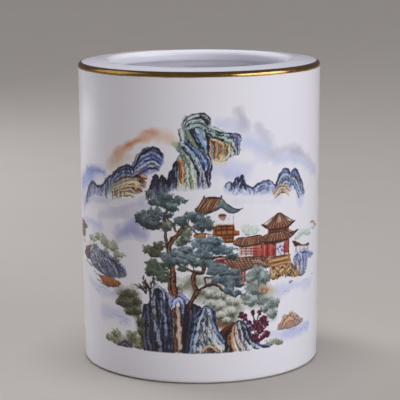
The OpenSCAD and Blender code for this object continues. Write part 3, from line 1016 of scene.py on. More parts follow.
wash([(5, 89.6), (10, 89.4)], 1.5, (236, 214, 172), 0.65)
veil([(-10, 77.8), (-4, 77.8), (3, 78.4)], 2.2, 0.8)
print(len(motifs), "motifs laid, the last is", motifs[-1])

# %% [markdown]
# ## Islets, far rocks and water
#
# The middle distance sits on the water: low rocks with a few soft trees, a moored boat, and the
# eaves of small halls half lost in green. The water itself is only a lilac wash and a few ripples.

# %% Water, laid first so that everything stands in it
motif("enamel_water")
wash([(-46, 25), (-38, 26), (-33, 24)], 4.4, (206, 208, 236), 0.8)
wash([(-58, 36), (-48, 34), (-38, 33)], 3.0, (206, 206, 234), 0.7)
wash([(34, 35.5), (44, 36), (56, 35)], 3.4, (208, 212, 242), 0.85)
wash([(38, 16.5), (46, 16.5), (55, 17.5)], 3.0, PERIWINKLE, 0.75)
wash([(30, 18.5), (36, 17)], 2.0, (208, 212, 242), 0.6)
for x, z, long in [(-45, 23.6, 5), (-41, 24.8, 7), (-37, 22.8, 5), (-34, 24, 4), (-39, 21.8, 5),
        (-50, 35, 8), (-42, 33.8, 8), (-36, 34.6, 5), (-54, 33, 5), (40, 17.6, 6), (46, 16.4, 7),
        (51, 18.2, 5), (44, 38.6, 3), (57, 37.6, 5), (50, 36.8, 5), (37, 34.4, 4)]:
    stroke([(x, z), (x + long / 2, z + 0.35), (x + long, z - 0.1)], 0.4, (146, 152, 196), 0.7, dry=0.6)
stroke([(40.4, 38), (42.8, 37.9)], 0.9, (96, 104, 146), 0.7)
painted("water")

# %% The islet on the left, with its boat
motif("enamel_left_islet")
shrubs([(-50, 56, 3.4, 1.8, 51), (-45, 55, 3.6, 2.4, 52), (-40, 53.4, 4, 2.4, 53),
    (-55, 54.4, 3.4, 1.6, 54), (-36, 50.4, 3.4, 1.6, 55)], (132, 132, 110), (188, 188, 160), 0.7)
shape([(-66, 46), (-63, 48.6), (-59, 50.6), (-55.6, 51), (-53, 48.4), (-54.6, 45.4), (-60, 44.8)],
    (92, 58, 48), (52, 36, 42), soft=0.8)
for line, width, pair in [([(-65, 46.6), (-62, 49), (-58.4, 49.6), (-55.4, 47)], 1.6,
        ((150, 96, 66), (44, 28, 34))), ([(-61.6, 46.4), (-58, 48), (-55, 45.6)], 1.3,
        ((116, 74, 60), (40, 28, 38)))]:
    fold(line, width, pair, 0.9)
wash([(-60.6, 51.4), (-57, 52.2), (-53.4, 51.6)], 1.2, CREAM, 0.8)
shape([(-57, 49.6), (-54, 51.4), (-50, 51.4), (-46, 50), (-40.6, 48.8), (-35, 46.6), (-31.6, 43),
    (-36, 41), (-44, 40.4), (-51, 41.8), (-57, 44)], (158, 166, 188), (118, 124, 150), soft=0.9)
islet_folds = [([(-57, 48.4), (-53.6, 50.8), (-49.4, 50), (-46.4, 46.6)], 1.8, GLACIER),
    ([(-56.4, 45.6), (-53, 48), (-49, 47.4), (-45.6, 43.6)], 1.9, ((170, 182, 206), (48, 54, 84))),
    ([(-49.4, 50.4), (-45, 49.4), (-41, 46.6), (-38.6, 43.4)], 1.6, STEEL),
    ([(-46, 47.6), (-42, 46.6), (-38.6, 44), (-37, 41.8)], 1.7, ((178, 186, 200), (62, 64, 88))),
    ([(-42.6, 48.8), (-38.6, 47.4), (-35.4, 45), (-33.4, 42.4)], 1.7, NIGHT),
    ([(-37.6, 47.4), (-34.4, 45.6), (-32, 43)], 1.4, STEEL),
    ([(-55.6, 43.4), (-51, 44.6), (-47, 42.6), (-44.6, 41)], 1.6, ((160, 164, 186), (52, 52, 80))),
    ([(-46.4, 44.4), (-43, 43.4), (-40.6, 41.2)], 1.4, STORM),]
folds(islet_folds, 0.9, dry=0.5)
between([(-55, 49), (-48, 48.6), (-41, 47), (-35, 45)], [(-50, 44), (-43, 42), (-37, 41.4), (-33, 42)],
    30, 0.42, [(46, 46, 72), (214, 218, 228), (70, 66, 96)], 0.8, seed=56, ragged=0.35)
for x, z, wide, seed in [(-52, 51.6, 2.4, 46), (-44, 50.4, 2.6, 47), (-37.4, 48, 2.2, 48),
        (-48, 45.6, 1.4, 49)]:
    clump(x, z, wide, 1.1, (96, 98, 84), (160, 162, 138), seed, 0.7, needles=False)
for start, end in [((-64, 44.4), (-55, 42.6)), ((-54, 41), (-44, 39.8)), ((-50, 42.4), (-40, 40.4))]:
    stroke([start, ((start[0] + end[0]) / 2, start[1] - 1.4), end], 0.7, (86, 78, 96), 0.8, dry=0.6)
shape([(-48.6, 39.4), (-44, 40.4), (-39, 40.2), (-35, 39), (-37.4, 37.4), (-42, 36.6), (-46, 37)],
    (212, 142, 72), (176, 100, 46), soft=0.5, edge=(120, 74, 44), edge_width=0.6)
between([(-47, 39.6), (-41, 40), (-36, 39)], [(-46, 37.4), (-41, 36.8), (-37, 37.6)], 12, 0.35,
    [UMBER, OCHRE], 0.7, seed=57)
stroke([(-52, 38), (-47, 37), (-42, 36.4), (-36, 37.4)], 0.7, (88, 74, 76), 0.85)
# the corner of a hall at the picture's far left
shape([(-72, 59), (-67, 60.2), (-62, 59), (-60, 57.8), (-64, 57), (-71, 57)], (150, 100, 80),
    (104, 58, 50), soft=0.5)
shape([(-71.5, 57), (-64, 57), (-64.4, 53.4), (-71.5, 53)], (176, 92, 82), (130, 62, 60), soft=0.4)
stroke([(-72, 57), (-66, 56.8), (-60.6, 57.6)], 0.6, (64, 36, 40), 0.9)
between([(-71, 56.6), (-65, 56.6)], [(-71, 53.4), (-65, 53.6)], 5, 0.5, [(96, 44, 44)], 0.8, seed=58)
wash([(-70, 51.4), (-65, 51)], 1.8, (170, 176, 150), 0.7)
painted("the islet on the left, with its boat")

# %% Rocks and a garden wall on the right
motif("enamel_right_rocks")
shrubs([(48.6, 57, 3.4, 1.5, 61), (54, 56.4, 3.6, 1.6, 62), (45.4, 55.8, 2.2, 1.2, 63),
    (60.6, 57.4, 3, 1.3, 64)], (184, 202, 188), (214, 226, 214), 0.7)
shape([(42, 54.6), (45, 54.2), (50, 52), (55, 51.6), (55.4, 50.4), (50, 50.2), (46.4, 51.6),
    (44.4, 52)], (140, 82, 48), (98, 56, 42), soft=0.4)
stroke([(42, 54.6), (46, 53), (50, 51.4), (56, 51.2)], 0.6, UMBER, 0.95)
shape([(44.4, 52), (55, 50.4), (55, 48.4), (44.8, 48.6)], BARE, (214, 206, 214), soft=0.4)
for x in (44.8, 47.6, 51, 54.4):
    stroke([(x, 52), (x, 48.6)], 0.6, (110, 58, 44), 0.85, straight=True)
stroke([(56.4, 59.6), (59.6, 59.8), (63, 58), (66, 57.4)], 1.1, (164, 108, 82), 0.85)
shape([(42.6, 47), (45, 49.4), (48, 49), (51.6, 49.8), (55.4, 48.4), (61, 46), (58, 45), (54, 45.4),
    (53, 41), (51, 39.4), (46.4, 39.6), (44.6, 43)], (150, 166, 214), (150, 152, 190), soft=0.7)
right_folds = [([(42.8, 47), (45.4, 49), (48, 48.2), (49, 45.6)], 1.7,
    ((196, 208, 240), (60, 70, 120))), ([(44.6, 46), (45.8, 43.4), (45.6, 40.4)], 1.8,
    ((206, 200, 206), (92, 76, 90))), ([(46.8, 46.6), (48.4, 43.4), (48, 40)], 1.8,
    ((222, 224, 236), (74, 78, 116))), ([(49.6, 47.6), (51.2, 44.4), (50.8, 40.2)], 1.7, STEEL),
    ([(48.4, 49), (51.8, 49.2), (54, 46.8), (53, 42)], 1.7, ((176, 192, 236), (40, 46, 90))),
    ([(52.4, 49.2), (56, 47.8), (61, 46)], 1.5, ((160, 180, 232), (52, 60, 108))),]
folds(right_folds, 0.92, dry=0.4)
between([(44, 48), (49, 47.4), (53, 47)], [(45.4, 40), (48.6, 39.8), (52, 40.4)], 12, 0.4,
    [(48, 48, 80), BARE], 0.8, seed=68, ragged=0.4)
stroke([(45.6, 39.7), (49, 39.3), (52.6, 39.8)], 0.7, (70, 72, 96), 0.85)
painted("rocks and a garden wall on the right")

# %% The small islet low on the right
motif("enamel_right_islet")
shape([(33.6, 20), (35.4, 22.6), (38, 24.2), (41.4, 25), (45, 24), (48, 22), (50.6, 20), (46, 19.2),
    (40, 19.2), (36, 19)], (224, 186, 158), (190, 150, 134), soft=0.8)
nested([(36, 20.4), (38.4, 23.4), (42, 23.8), (45.6, 21)], (0.2, -0.9), 4, 0.5,
    [RUST, SAND, (150, 92, 66), OCHRE], 0.85)
nested([(43.4, 20.8), (45.4, 22.6), (47.8, 21.8), (50, 20)], (0.1, -0.6), 3, 0.5,
    [(96, 108, 134), SKY, SLATE], 0.85)
for x, z, seed in [(38, 24.4, 65), (42, 25, 66)]:
    clump(x, z, 1.8, 0.8, (150, 150, 120), (196, 196, 160), seed, 0.6, needles=False)
stroke([(33, 19.4), (38, 18.9), (44, 19), (51, 19.6)], 0.6, (104, 112, 150), 0.8)
painted("the small islet low on the right")

# %% [markdown]
# ## The house and the pavilions
#
# Buildings are the one place for straight edges. Each roof is a filled outline with rows of tile
# strokes combed from ridge to eave, a dark line under the eave, and tips that turn up. Under it
# stand coral panels and dark posts.

# %% A roof and a row of posts
motif("enamel_pavilions")
hand["sway"] = RULED


def roof(outline, ridge, eave, rows, top, low, seed):
    """A tiled roof: its outline filled, tile rows combed down it, and a heavy line under the eave."""
    shape(outline, top, low, soft=0.3, edge=UMBER, edge_width=0.45)
    between(ridge, eave, rows, 0.38, [UMBER, (236, 206, 170), (112, 66, 46)], 0.85, seed=seed,
        ragged=0.1)
    stroke(ridge, 0.45, (70, 42, 36), 0.9, taper=(0.05, 0.05))
    stroke(eave, 0.65, (58, 34, 30), 0.95, taper=(0.08, 0.08))


def posts(places, foot, head, colour, width):
    """Upright posts at each of the places along the wall."""
    for x in places:
        stroke([(x, foot), (x, head)], width, colour, 0.92, taper=(0.01, 0.01), straight=True)


def panel(left, foot, right, head, colour, low=None):
    """A straight-edged panel."""
    shape([(left, foot), (left, head), (right, head), (right, foot)], colour, low, soft=0.3,
        smooth=False)


print("roofs and posts ready")


# %% The white house
panel(4.2, 64.6, 13.3, 70.4, BARE)
panel(4.2, 63.8, 13.3, 65, (214, 200, 190))
stroke([(13.3, 64.4), (13.4, 69.4)], 0.35, (168, 160, 168), 0.8, straight=True)
roof([(-2.2, 71.2), (-0.4, 72.2), (1.4, 75.2), (8.4, 75.2), (7, 72.6), (4.6, 70), (1.4, 68.9),
    (-1.4, 69.8)], [(1.4, 75.2), (8.4, 75.2)], [(-2, 70.4), (1.4, 69.1), (4.8, 69.8)], 26,
    (178, 118, 74), (128, 78, 54), 71)
between([(0, 72.8), (8, 74)], [(-1, 70.4), (5.6, 70.6)], 9, 0.35, [(232, 190, 140), UMBER], 0.7,
    seed=72)
shape([(8.2, 75.4), (10.4, 73), (13, 71.2), (15.4, 70.5), (17.2, 70.8), (15.2, 69.4), (12.8, 68.9),
    (10.6, 69.9), (8.4, 71.6), (6.4, 70.4), (4.4, 69.6), (6.8, 72)], (146, 166, 168), (110, 132, 140),
    soft=0.4, edge=(64, 78, 92), edge_width=0.5)
stroke([(8.2, 75.3), (10.4, 72.9), (13.2, 71), (16.4, 70.3), (17.6, 70.9)], 0.5, (60, 60, 72), 0.95)
stroke([(4.4, 69.6), (6.6, 70.6), (8.4, 71.5), (10.6, 69.8), (13, 68.9), (15.4, 69.5)], 0.5,
    (70, 74, 84), 0.9)
stroke([(1, 75.4), (5, 75.5), (8.8, 75.4)], 0.55, (56, 44, 46), 0.95)
dab(1.6, 75.9, 0.5, 0.35, 1, (56, 44, 46))
dab(8.5, 75.9, 0.5, 0.35, 2, (56, 44, 46))
shape([(7.4, 67.4), (7.6, 68.8), (10.2, 68.6), (10, 66.8), (8.8, 66.2)], (160, 100, 88),
    (196, 160, 150), soft=0.5)
stroke([(7.3, 68.4), (10.4, 68.2)], 0.5, (96, 56, 54), 0.85)
stroke([(2.6, 68.6), (2.6, 66.4)], 0.35, (110, 90, 90), 0.7, straight=True)
# its lower storey
shape([(4.6, 60), (5.2, 63.4), (6.6, 64.6), (13.6, 64.4), (14, 62.2), (15.8, 61.6), (15.8, 60.2),
    (13.6, 59.8), (13.6, 57.2), (9.6, 57.2), (8.4, 59.6)], (190, 122, 56), (176, 108, 52), soft=0.5,
    smooth=False)
for x, z, end, colour in [(5.6, 63.8, 13.6, UMBER), (5.2, 62.4, 13.8, (98, 54, 32)),
        (6, 61.4, 15.4, OCHRE), (5, 60.2, 15.8, UMBER), (8.4, 59.2, 13.6, (120, 66, 36)),
        (9.4, 58.2, 13.6, OCHRE), (9.6, 57.4, 13.6, UMBER)]:
    stroke([(x, z), ((x + end) / 2, z + 0.15), (end, z)], 0.6, colour, 0.85)
posts([6.2, 8.4, 10.6, 13.2], 60.4, 64, (92, 52, 34), 0.5)
posts([10, 11.6, 13], 57.4, 59.8, (110, 62, 36), 0.45)
shape([(-2.6, 60), (-1.6, 61.2), (1.8, 61.2), (2, 59.4), (-1, 59)], (216, 166, 96), (168, 108, 56),
    soft=0.4)
stroke([(-2.6, 60.4), (0, 61.2), (5, 60.8)], 0.5, UMBER, 0.8)
painted("the white house")

# %% Soft green between the house and the hall
motif("enamel_bank_shrubs")
shrubs([(18.6, 62.6, 2.8, 2.0, 73), (22.4, 62, 2.6, 1.7, 74), (20.4, 60.6, 3.6, 1.2, 75)],
    (196, 212, 198), (218, 228, 218), 0.65)
painted("soft green between the house and the hall")

# %% The long gallery and the two-tiered hall
motif("enamel_pavilions")
panel(15.6, 51.4, 25.4, 55.6, (222, 176, 158), (226, 210, 208))
panel(21.6, 50.6, 25.4, 55.2, CORAL, (200, 92, 82))
panel(25.6, 50, 31.6, 55.6, (214, 104, 88), (190, 80, 70))
panel(32.6, 49.6, 37.2, 55.4, (214, 204, 226), (226, 222, 230))
panel(37.2, 50.2, 39.8, 55.4, (220, 108, 96), (196, 84, 78))
for x, z, colour in [(33.6, 52.6, (140, 74, 156)), (34.8, 53.4, (112, 52, 130)),
        (35.8, 52, (122, 60, 140)), (36.6, 51.4, (186, 60, 130)), (34.2, 51.4, (170, 150, 196)),
        (35.2, 50.6, (156, 170, 160)), (36.8, 53, (190, 72, 136))]:
    dab(x, z, 0.75, 0.45, x, colour, 0.8)
for z in (54.3, 53.2, 52.2):
    stroke([(16, z + 0.4), (20, z), (25.2, z - 0.6)], 0.4, (128, 70, 56), 0.85)
posts([16.6, 18.6, 20.8, 23], 51.4, 55.2, (150, 86, 72), 0.35)
posts([25.6, 28.4, 31.6, 32.4], 49.4, 55.8, (120, 50, 40), 0.8)
posts([37.4, 39.8], 49.8, 55.8, (124, 54, 40), 0.75)
posts([27, 30], 50, 55.2, (240, 150, 132), 0.35)
stroke([(25, 55.6), (32, 55.3), (40, 55.7)], 0.8, (96, 52, 36), 0.95)
stroke([(25.4, 50.2), (31, 49.6), (40, 49.8)], 0.6, (120, 66, 44), 0.9)
panel(28.6, 58.6, 39.8, 61.4, (186, 128, 98), (150, 92, 70))
posts([29.6, 31.2, 32.8, 34.6, 36.4, 38, 39.4], 58.8, 61, (84, 44, 36), 0.55)
roof([(13, 57), (15, 58.8), (20, 59.1), (25.4, 59.2), (26, 56.4), (24.6, 55.7), (18, 55.3),
    (15.2, 55.6), (14, 56)], [(15, 58.8), (25, 59.2)], [(13.4, 56.6), (17, 55.4), (25.4, 55.8)], 34,
    (206, 154, 124), (166, 112, 88), 76)
for z in (58.2, 57.5, 56.8, 56.1):
    stroke([(15, z), (20, z), (25.4, z + 0.1)], 0.28, (134, 82, 62), 0.7, dry=0.6)
roof([(24.2, 58), (26, 58.6), (29.4, 59.6), (39.2, 59.6), (42.6, 58.5), (46, 58.7), (43.4, 57.4),
    (40.4, 56.2), (33, 55.9), (26.6, 55.8), (24.6, 56.6)], [(29.4, 59.6), (39.2, 59.6)],
    [(24.6, 56.8), (28, 55.9), (33, 55.8), (39.6, 56.1), (45.4, 58.5)], 38, (184, 126, 88),
    (146, 94, 64), 77)
wash([(26, 57.4), (29, 57.8)], 1.4, (118, 104, 60), 0.6)
stroke([(40, 57.8), (43, 58.3), (46.4, 58.8)], 0.8, (96, 56, 40), 0.95)
roof([(25.4, 63.3), (27.6, 62.8), (29.6, 63.8), (31.2, 65.2), (32.6, 66.6), (34.2, 67.1), (36, 66.7),
    (37.4, 65.2), (39.4, 63.6), (41.4, 62.9), (44, 62.7), (41.4, 61.5), (38.4, 60.7), (34, 60.6),
    (30, 60.8), (28, 61.6)], [(32.2, 66.4), (34.2, 67), (36.4, 66.3)],
    [(25.8, 63.1), (29, 61.2), (34, 60.6), (39.4, 61), (43.8, 62.7)], 34, (190, 134, 102),
    (152, 98, 74), 78)
shape([(32.8, 63.4), (34.4, 65.8), (36, 63.4)], (222, 188, 176), (196, 150, 132), soft=0.4,
    smooth=False)
stroke([(31, 63.2), (33, 66.4), (34.4, 67), (36, 66.2), (37.8, 63.4)], 0.45, (84, 50, 42), 0.9)
stroke([(25.2, 63.4), (27.4, 62.7), (28.8, 61.8)], 0.7, (84, 50, 42), 0.95)
stroke([(40.6, 61.8), (42.6, 62.5), (44.4, 62.9)], 0.6, (84, 50, 42), 0.9)
painted("the long gallery and the two-tiered hall")

# %% The near roofs, the terrace and its stone base
panel(13, 40.8, 18.4, 45.4, (226, 150, 132), (214, 120, 108))
posts([13.8, 15.2, 16.8, 18], 41, 45.4, (150, 52, 48), 0.7)
posts([14.4, 16, 17.4], 41.2, 45, (238, 158, 140), 0.4)
roof([(8.4, 50), (11, 51.2), (17, 50.9), (25.4, 50.6), (29, 48.9), (31.2, 46.8), (29, 45.6), (26, 46.6),
    (22, 46.8), (17, 45.6), (13, 45.2), (12.6, 46.6), (11, 48)],
    [(9, 50.6), (16, 51), (25.4, 50.5), (29, 48.8)], [(12.4, 46), (17, 45.5), (22, 46.6), (26, 46.4),
    (30.6, 46)], 44, (200, 146, 118), (156, 104, 82), 79)
for z in (50, 49.1, 48.2, 47.3):
    stroke([(11, z), (18, z), (26, z - 0.3)], 0.3, (112, 66, 50), 0.75, dry=0.5)
nested([(21, 50.4), (25.4, 49.6), (29.6, 47)], (-0.5, -1.0), 3, 0.6,
    [UMBER, (214, 170, 140), (100, 58, 44)], 0.85, shrink=0.95)
panel(6, 48.8, 9.4, 51, (206, 96, 92), (150, 62, 62))
posts([6.6, 7.8, 9], 48.9, 50.8, (110, 34, 40), 0.5)
stroke([(5, 51.4), (10, 51.6), (16, 51.4)], 0.6, (92, 58, 48), 0.9)
panel(29, 46, 41, 49.4, (206, 158, 98), (190, 136, 80))
for z, colour in [(49.3, (110, 66, 40)), (48.3, (228, 196, 150)), (47.4, (134, 84, 48)),
        (46.4, (220, 186, 136))]:
    stroke([(29, z - 0.3), (35, z), (41.4, z)], 0.55, colour, 0.85)
shape([(29.4, 41.4), (30, 45.4), (34, 46), (40, 46), (42.6, 45), (46, 42), (47, 40), (44, 39.4),
    (40, 40.4), (36, 41), (32, 40.6)], (222, 186, 134), (198, 154, 102), soft=0.6, edge=(150, 104, 62),
    edge_width=0.7)
rng = np.random.default_rng(80)
for k in range(110):
    x, z = rng.uniform(30, 45), rng.uniform(40.4, 45.6)
    if z < 47 - 0.45 * max(0, x - 40) * 2:
        dab(x, z, rng.uniform(0.4, 0.9), rng.uniform(0.2, 0.4), rng.normal(0, 0.6),
            [UMBER, RUST, CREAM, (70, 44, 34)][k % 4], 0.75)
nested([(38.4, 43), (40.4, 44.6), (43, 43.4), (45.6, 40.6)], (0, -0.8), 3, 0.5, [RUST, SAND, UMBER],
    0.85)
stroke([(39, 49.4), (41, 47), (42.4, 44.4), (45.6, 42)], 0.6, (110, 100, 130), 0.7)
hand["sway"] = FREE
print(len(set(motifs)), "motifs so far")

# %% [markdown]
# ## The near bank: trees, shrubs, cliff and pines
#
# The foreground is the darkest and sharpest part. Grey-green trees stand behind, then pale rounded
# shrubs, then the cliff: tall folds of slate and violet with a warm cleft, and pointed rocks in front.
# The pines come last, trunks first and then the needles in flat cushions, darkest underneath.

# %% Trees and pale shrubs behind the cliff
motif("enamel_bank_shrubs")
wash([(23, 44.6), (23.6, 39), (23.6, 33)], 7.0, (150, 158, 152), 0.65)
wash([(27, 34), (30.4, 30.6), (31, 27)], 4.4, (156, 164, 158), 0.6)
shrubs([(24, 45, 3.4, 2.4, 81), (20.6, 42.4, 2.6, 2.4, 82), (26.4, 41.6, 3.6, 2.8, 83),
    (22, 38, 4, 2.8, 84), (18.4, 35, 2.8, 2, 85), (25.6, 36.6, 3.2, 2.6, 86), (20, 32.6, 3.4, 2, 87),
    (26, 32.6, 3.2, 2.2, 88), (31, 30.6, 3.8, 2.6, 89), (31, 26.6, 2.8, 2.2, 90),
    (27, 29, 2.4, 1.6, 91)], (104, 118, 114), (172, 186, 178), 0.8)
stroke([(24.4, 30), (24.2, 36), (24, 44)], 0.5, (104, 100, 96), 0.7)
stroke([(24.2, 37), (21, 40.4)], 0.35, (104, 100, 96), 0.6)
stroke([(24.2, 38.6), (27, 42)], 0.35, (104, 100, 96), 0.6)
wash([(25.4, 37), (27.4, 36.4), (29.4, 36.8)], 2.2, (222, 172, 128), 0.7)
between([(25, 37.6), (30, 37.4)], [(25.4, 35), (29.6, 35)], 8, 0.4, [RUST, (150, 110, 84)], 0.6,
    seed=95, ragged=0.4)
shrubs([(31, 14.6, 3.4, 1.6, 92), (34.4, 14, 2.6, 1.3, 93), (28.6, 13.8, 2, 1.0, 94)], (128, 136, 120),
    (176, 184, 162), 0.75)

# a dusky ground, and the pale shrubs on it
motif("enamel_cliff")
wash([(-10, 41), (-7, 40), (-4, 42)], 4.6, (128, 120, 98), 0.75)
wash([(0, 38.4), (6, 36), (11, 32), (11.6, 27)], 7.0, (126, 128, 106), 0.85)
wash([(3, 42), (8, 40)], 3.0, (176, 184, 182), 0.6)
wash([(6.6, 24.6), (9.4, 24)], 2.6, (140, 96, 66), 0.75)
for x, z, wide, tall, seed in [(-8.6, 40.2, 2.2, 2.6, 101), (0.6, 38.6, 2.6, 2.2, 102),
        (4.4, 36.6, 2.9, 2.6, 103), (8.6, 36.4, 2.9, 2.4, 104), (12.4, 33.6, 2.9, 2.4, 105),
        (7.8, 32, 3.0, 2.6, 106), (4, 33, 2.4, 2.0, 107), (11.8, 29.4, 2.8, 2.4, 108),
        (8, 28, 2.5, 2.0, 109), (10.4, 25.8, 2.2, 1.5, 110)]:
    clump(x, z, wide, tall, (98, 102, 84), (192, 196, 180), seed, 0.9, needles=False, lift=0.1)
    wash([(x - 0.45 * wide, z + 0.25 * tall), (x, z + 0.5 * tall), (x + 0.45 * wide, z + 0.2 * tall)],
        0.7 * tall, (244, 244, 236), 0.72)
    between([(x - 0.7 * wide, z + 0.3 * tall), (x, z + 0.6 * tall), (x + 0.7 * wide, z + 0.3 * tall)],
        [(x - 0.8 * wide, z - 0.7 * tall), (x, z - 0.8 * tall), (x + 0.8 * wide, z - 0.7 * tall)], 7,
        0.4, [(150, 154, 132), (112, 114, 92)], 0.5, seed=seed, ragged=0.3)
painted("trees and pale shrubs behind the cliff")

# %% The cliff's tall folds
top = [(-24.4, 29.6), (-22.6, 31.6), (-21, 33), (-20, 36.6), (-18.4, 39), (-16.6, 38.8), (-15, 38),
    (-13.6, 36), (-12.6, 33.4)]
shape([(-24.6, 12.8)] + top + [(-12, 30), (-10.8, 24), (-10.4, 12.8)], (56, 56, 84), (40, 38, 62),
    soft=0.6)
cliff_folds = [
    ([(-23.4, 29), (-24, 24), (-24, 18), (-23.2, 12.6)], 1.9, STORM),
    ([(-22, 31.8), (-22.4, 27), (-22.4, 21), (-21.4, 12.6)], 2.2, ((104, 110, 148), (24, 22, 44))),
    ([(-20.8, 33.4), (-20.8, 27), (-20.8, 19), (-19.4, 12.6)], 1.6, ((70, 70, 104), (22, 20, 38))),
    ([(-19.6, 37), (-19.8, 31), (-19, 24), (-17.6, 16.6), (-16.6, 12.6)], 3.0,
        ((166, 176, 198), (34, 36, 62))),
    ([(-17.4, 33), (-17, 27), (-15.8, 20), (-14.4, 12.6)], 1.7, ((74, 78, 112), (20, 20, 38))),
    ([(-15.8, 38), (-16.2, 32), (-15, 25), (-13.4, 18), (-12.4, 12.6)], 2.7,
        ((150, 162, 196), (30, 32, 58))),
    ([(-13.6, 36), (-13.4, 30), (-12.4, 22), (-11.4, 12.6)], 2.1, ((96, 98, 134), (20, 18, 36))),
    ([(-20.4, 35), (-19.4, 38), (-17.4, 39), (-15.8, 37.8), (-15.2, 34)], 1.7,
        ((190, 196, 212), (50, 52, 80))),
    ([(-16.4, 38), (-14.6, 37.8), (-13.2, 35.4), (-12.8, 31)], 1.4, ((156, 164, 196), (36, 36, 62))),
    # the warm cleft and its blue head
    ([(-11.2, 31), (-11, 24), (-10.6, 12.6)], 1.7, ((150, 112, 96), (34, 22, 30))),
    ([(-9.8, 32), (-9.3, 25), (-9.2, 18), (-8.8, 12.6)], 2.4, ((216, 184, 156), (84, 42, 32))),
    ([(-8, 33), (-7.4, 27), (-7.2, 20), (-7.2, 12.6)], 1.6, ((180, 124, 84), (52, 28, 28))),
    ([(-6.4, 32), (-5.6, 27), (-5.7, 20), (-5.8, 12.6)], 1.9, ((130, 118, 132), (28, 22, 36))),
    ([(-12, 31.4), (-12.2, 34.2), (-10, 36.2), (-7.2, 35.8), (-5.6, 32.8), (-5, 28.4)], 2.3,
        ((150, 168, 222), (40, 42, 76))),
    ([(-10.4, 32), (-9.8, 33.8), (-8.2, 33.8), (-7.2, 30.4), (-6.2, 25)], 1.9,
        ((168, 184, 230), (56, 64, 116))),
]
folds(cliff_folds, 0.97, taper=(0.08, 0.03), shine=0.3)
between([(-24, 28), (-20.6, 34), (-18, 38), (-14, 35.6), (-12.4, 31)],
    [(-24, 13), (-20, 12.8), (-16, 12.8), (-11, 12.8)], 16, 0.34,
    [(22, 20, 38), (30, 28, 50), (196, 202, 218)], 0.8, bow=0.03, seed=113)
painted("the cliff's tall folds")

# %% Pointed rocks in front
shape([(-7.4, 12.8), (-6.8, 30), (-5, 33), (-2.4, 32.6), (0.6, 31), (1, 24), (-1, 12.8)], (58, 54, 76),
    (44, 34, 42), soft=0.6)
for line in ([(-4.4, 32), (-4.2, 27), (-5, 20), (-5.4, 12.8)],
        [(-2.6, 31.6), (-2.8, 28), (-3.8, 22), (-4.4, 16)]):
    fold(line, 1.7, ((112, 108, 134), (30, 26, 42)), 0.9, shine=0.3)
shape([(-5.2, 12.8), (-4.6, 17), (-3.6, 22), (-2.4, 26.4), (-0.4, 29.6), (1.4, 31.6), (2.8, 31.8),
    (4.6, 30.4), (5.4, 28), (5.6, 25), (6.8, 22), (9, 18.8), (11, 15.6), (12.6, 12.8)], (70, 86, 108),
    (96, 112, 118), soft=0.5)
shape([(6.6, 20.6), (9, 22.8), (11.6, 24.4), (14.4, 24.6), (12.6, 18), (12.4, 13), (10.4, 15.4),
    (8.4, 18.8)], (140, 84, 48), (76, 44, 32), soft=0.6)
rock_folds = [
    ([(1, 31.2), (-1.6, 28.4), (-3.4, 22), (-4.6, 12.8)], 2.2, ((128, 152, 196), (22, 28, 58))),
    ([(1.8, 31.4), (-0.4, 27), (-2, 20), (-3.1, 12.8)], 2.2, ((184, 202, 216), (40, 54, 86))),
    ([(3, 31), (1.8, 26.4), (0.4, 20), (-0.8, 12.8)], 3.0, ((214, 222, 224), (72, 86, 108))),
    ([(4.4, 31), (5.2, 28), (5, 24), (7.4, 19.6), (10.4, 15.4), (13, 12.9)], 2.2,
        ((134, 160, 216), (26, 34, 72))),
    ([(3.4, 29.6), (3.4, 24), (5.2, 19.4), (8.4, 15), (10.8, 12.9)], 2.5,
        ((200, 212, 226), (44, 58, 92))),
    ([(2.4, 23.4), (3.6, 19.4), (6, 16), (8.6, 12.9)], 2.4, ((226, 230, 222), (60, 76, 92))),
    ([(1.2, 20.6), (2.2, 17.6), (4.4, 14.8), (6.2, 12.9)], 2.0, ((206, 214, 208), (48, 60, 74))),
    ([(0.4, 17.6), (1, 15), (2.2, 12.9)], 1.6, ((150, 168, 176), (34, 42, 62))),
    ([(1.2, 31.6), (2.6, 31.7), (4.2, 30.8)], 1.5, ((176, 194, 226), (70, 84, 130))),
    # the second rock: brown on its left, pale folds that run off to the right
    ([(13, 23), (11.4, 20.6), (10.8, 17), (10.8, 12.9)], 2.4, ((170, 112, 70), (48, 30, 32))),
    ([(14, 24.2), (12.6, 21), (12.6, 17), (13.4, 12.9)], 1.8, ((214, 164, 122), (72, 46, 40))),
    ([(14.6, 24.6), (14.2, 20.6), (15, 16.6), (17, 12.9)], 2.0, ((222, 206, 190), (78, 62, 62))),
    ([(15.2, 25), (15.8, 21.4), (17.2, 17.4), (19.8, 13.6), (21, 12.9)], 2.2,
        ((228, 228, 228), (72, 74, 92))),
    ([(16, 25.2), (17.8, 22.6), (19, 18.6), (21.6, 15), (25, 13)], 2.1,
        ((196, 208, 226), (48, 56, 88))),
    ([(16.6, 25), (19.2, 23), (20.4, 19.4), (22.6, 16), (25.8, 14.2), (30, 13)], 1.6,
        ((128, 144, 190), (24, 28, 54))),
    # a warm mound on the waterline
    ([(0.2, 13), (2, 14.9), (4.4, 15.2), (7.2, 13)], 1.6, ((222, 178, 138), (112, 66, 46))),
]
folds(rock_folds, 0.97, taper=(0.08, 0.03), shine=0.4)
between([(14.4, 24), (16.4, 24), (18.4, 21.6)], [(15.4, 15), (19, 14.6), (22, 15)], 12, 0.34,
    [(52, 44, 56), (40, 46, 72)], 0.8, seed=115, bow=0.12)
between([(1.6, 29), (3.4, 28), (4.8, 25)], [(-1.4, 15), (3.4, 15.4), (8.6, 14.6)], 12, 0.34,
    [(40, 52, 76), (230, 234, 228)], 0.75, seed=116, bow=0.06)
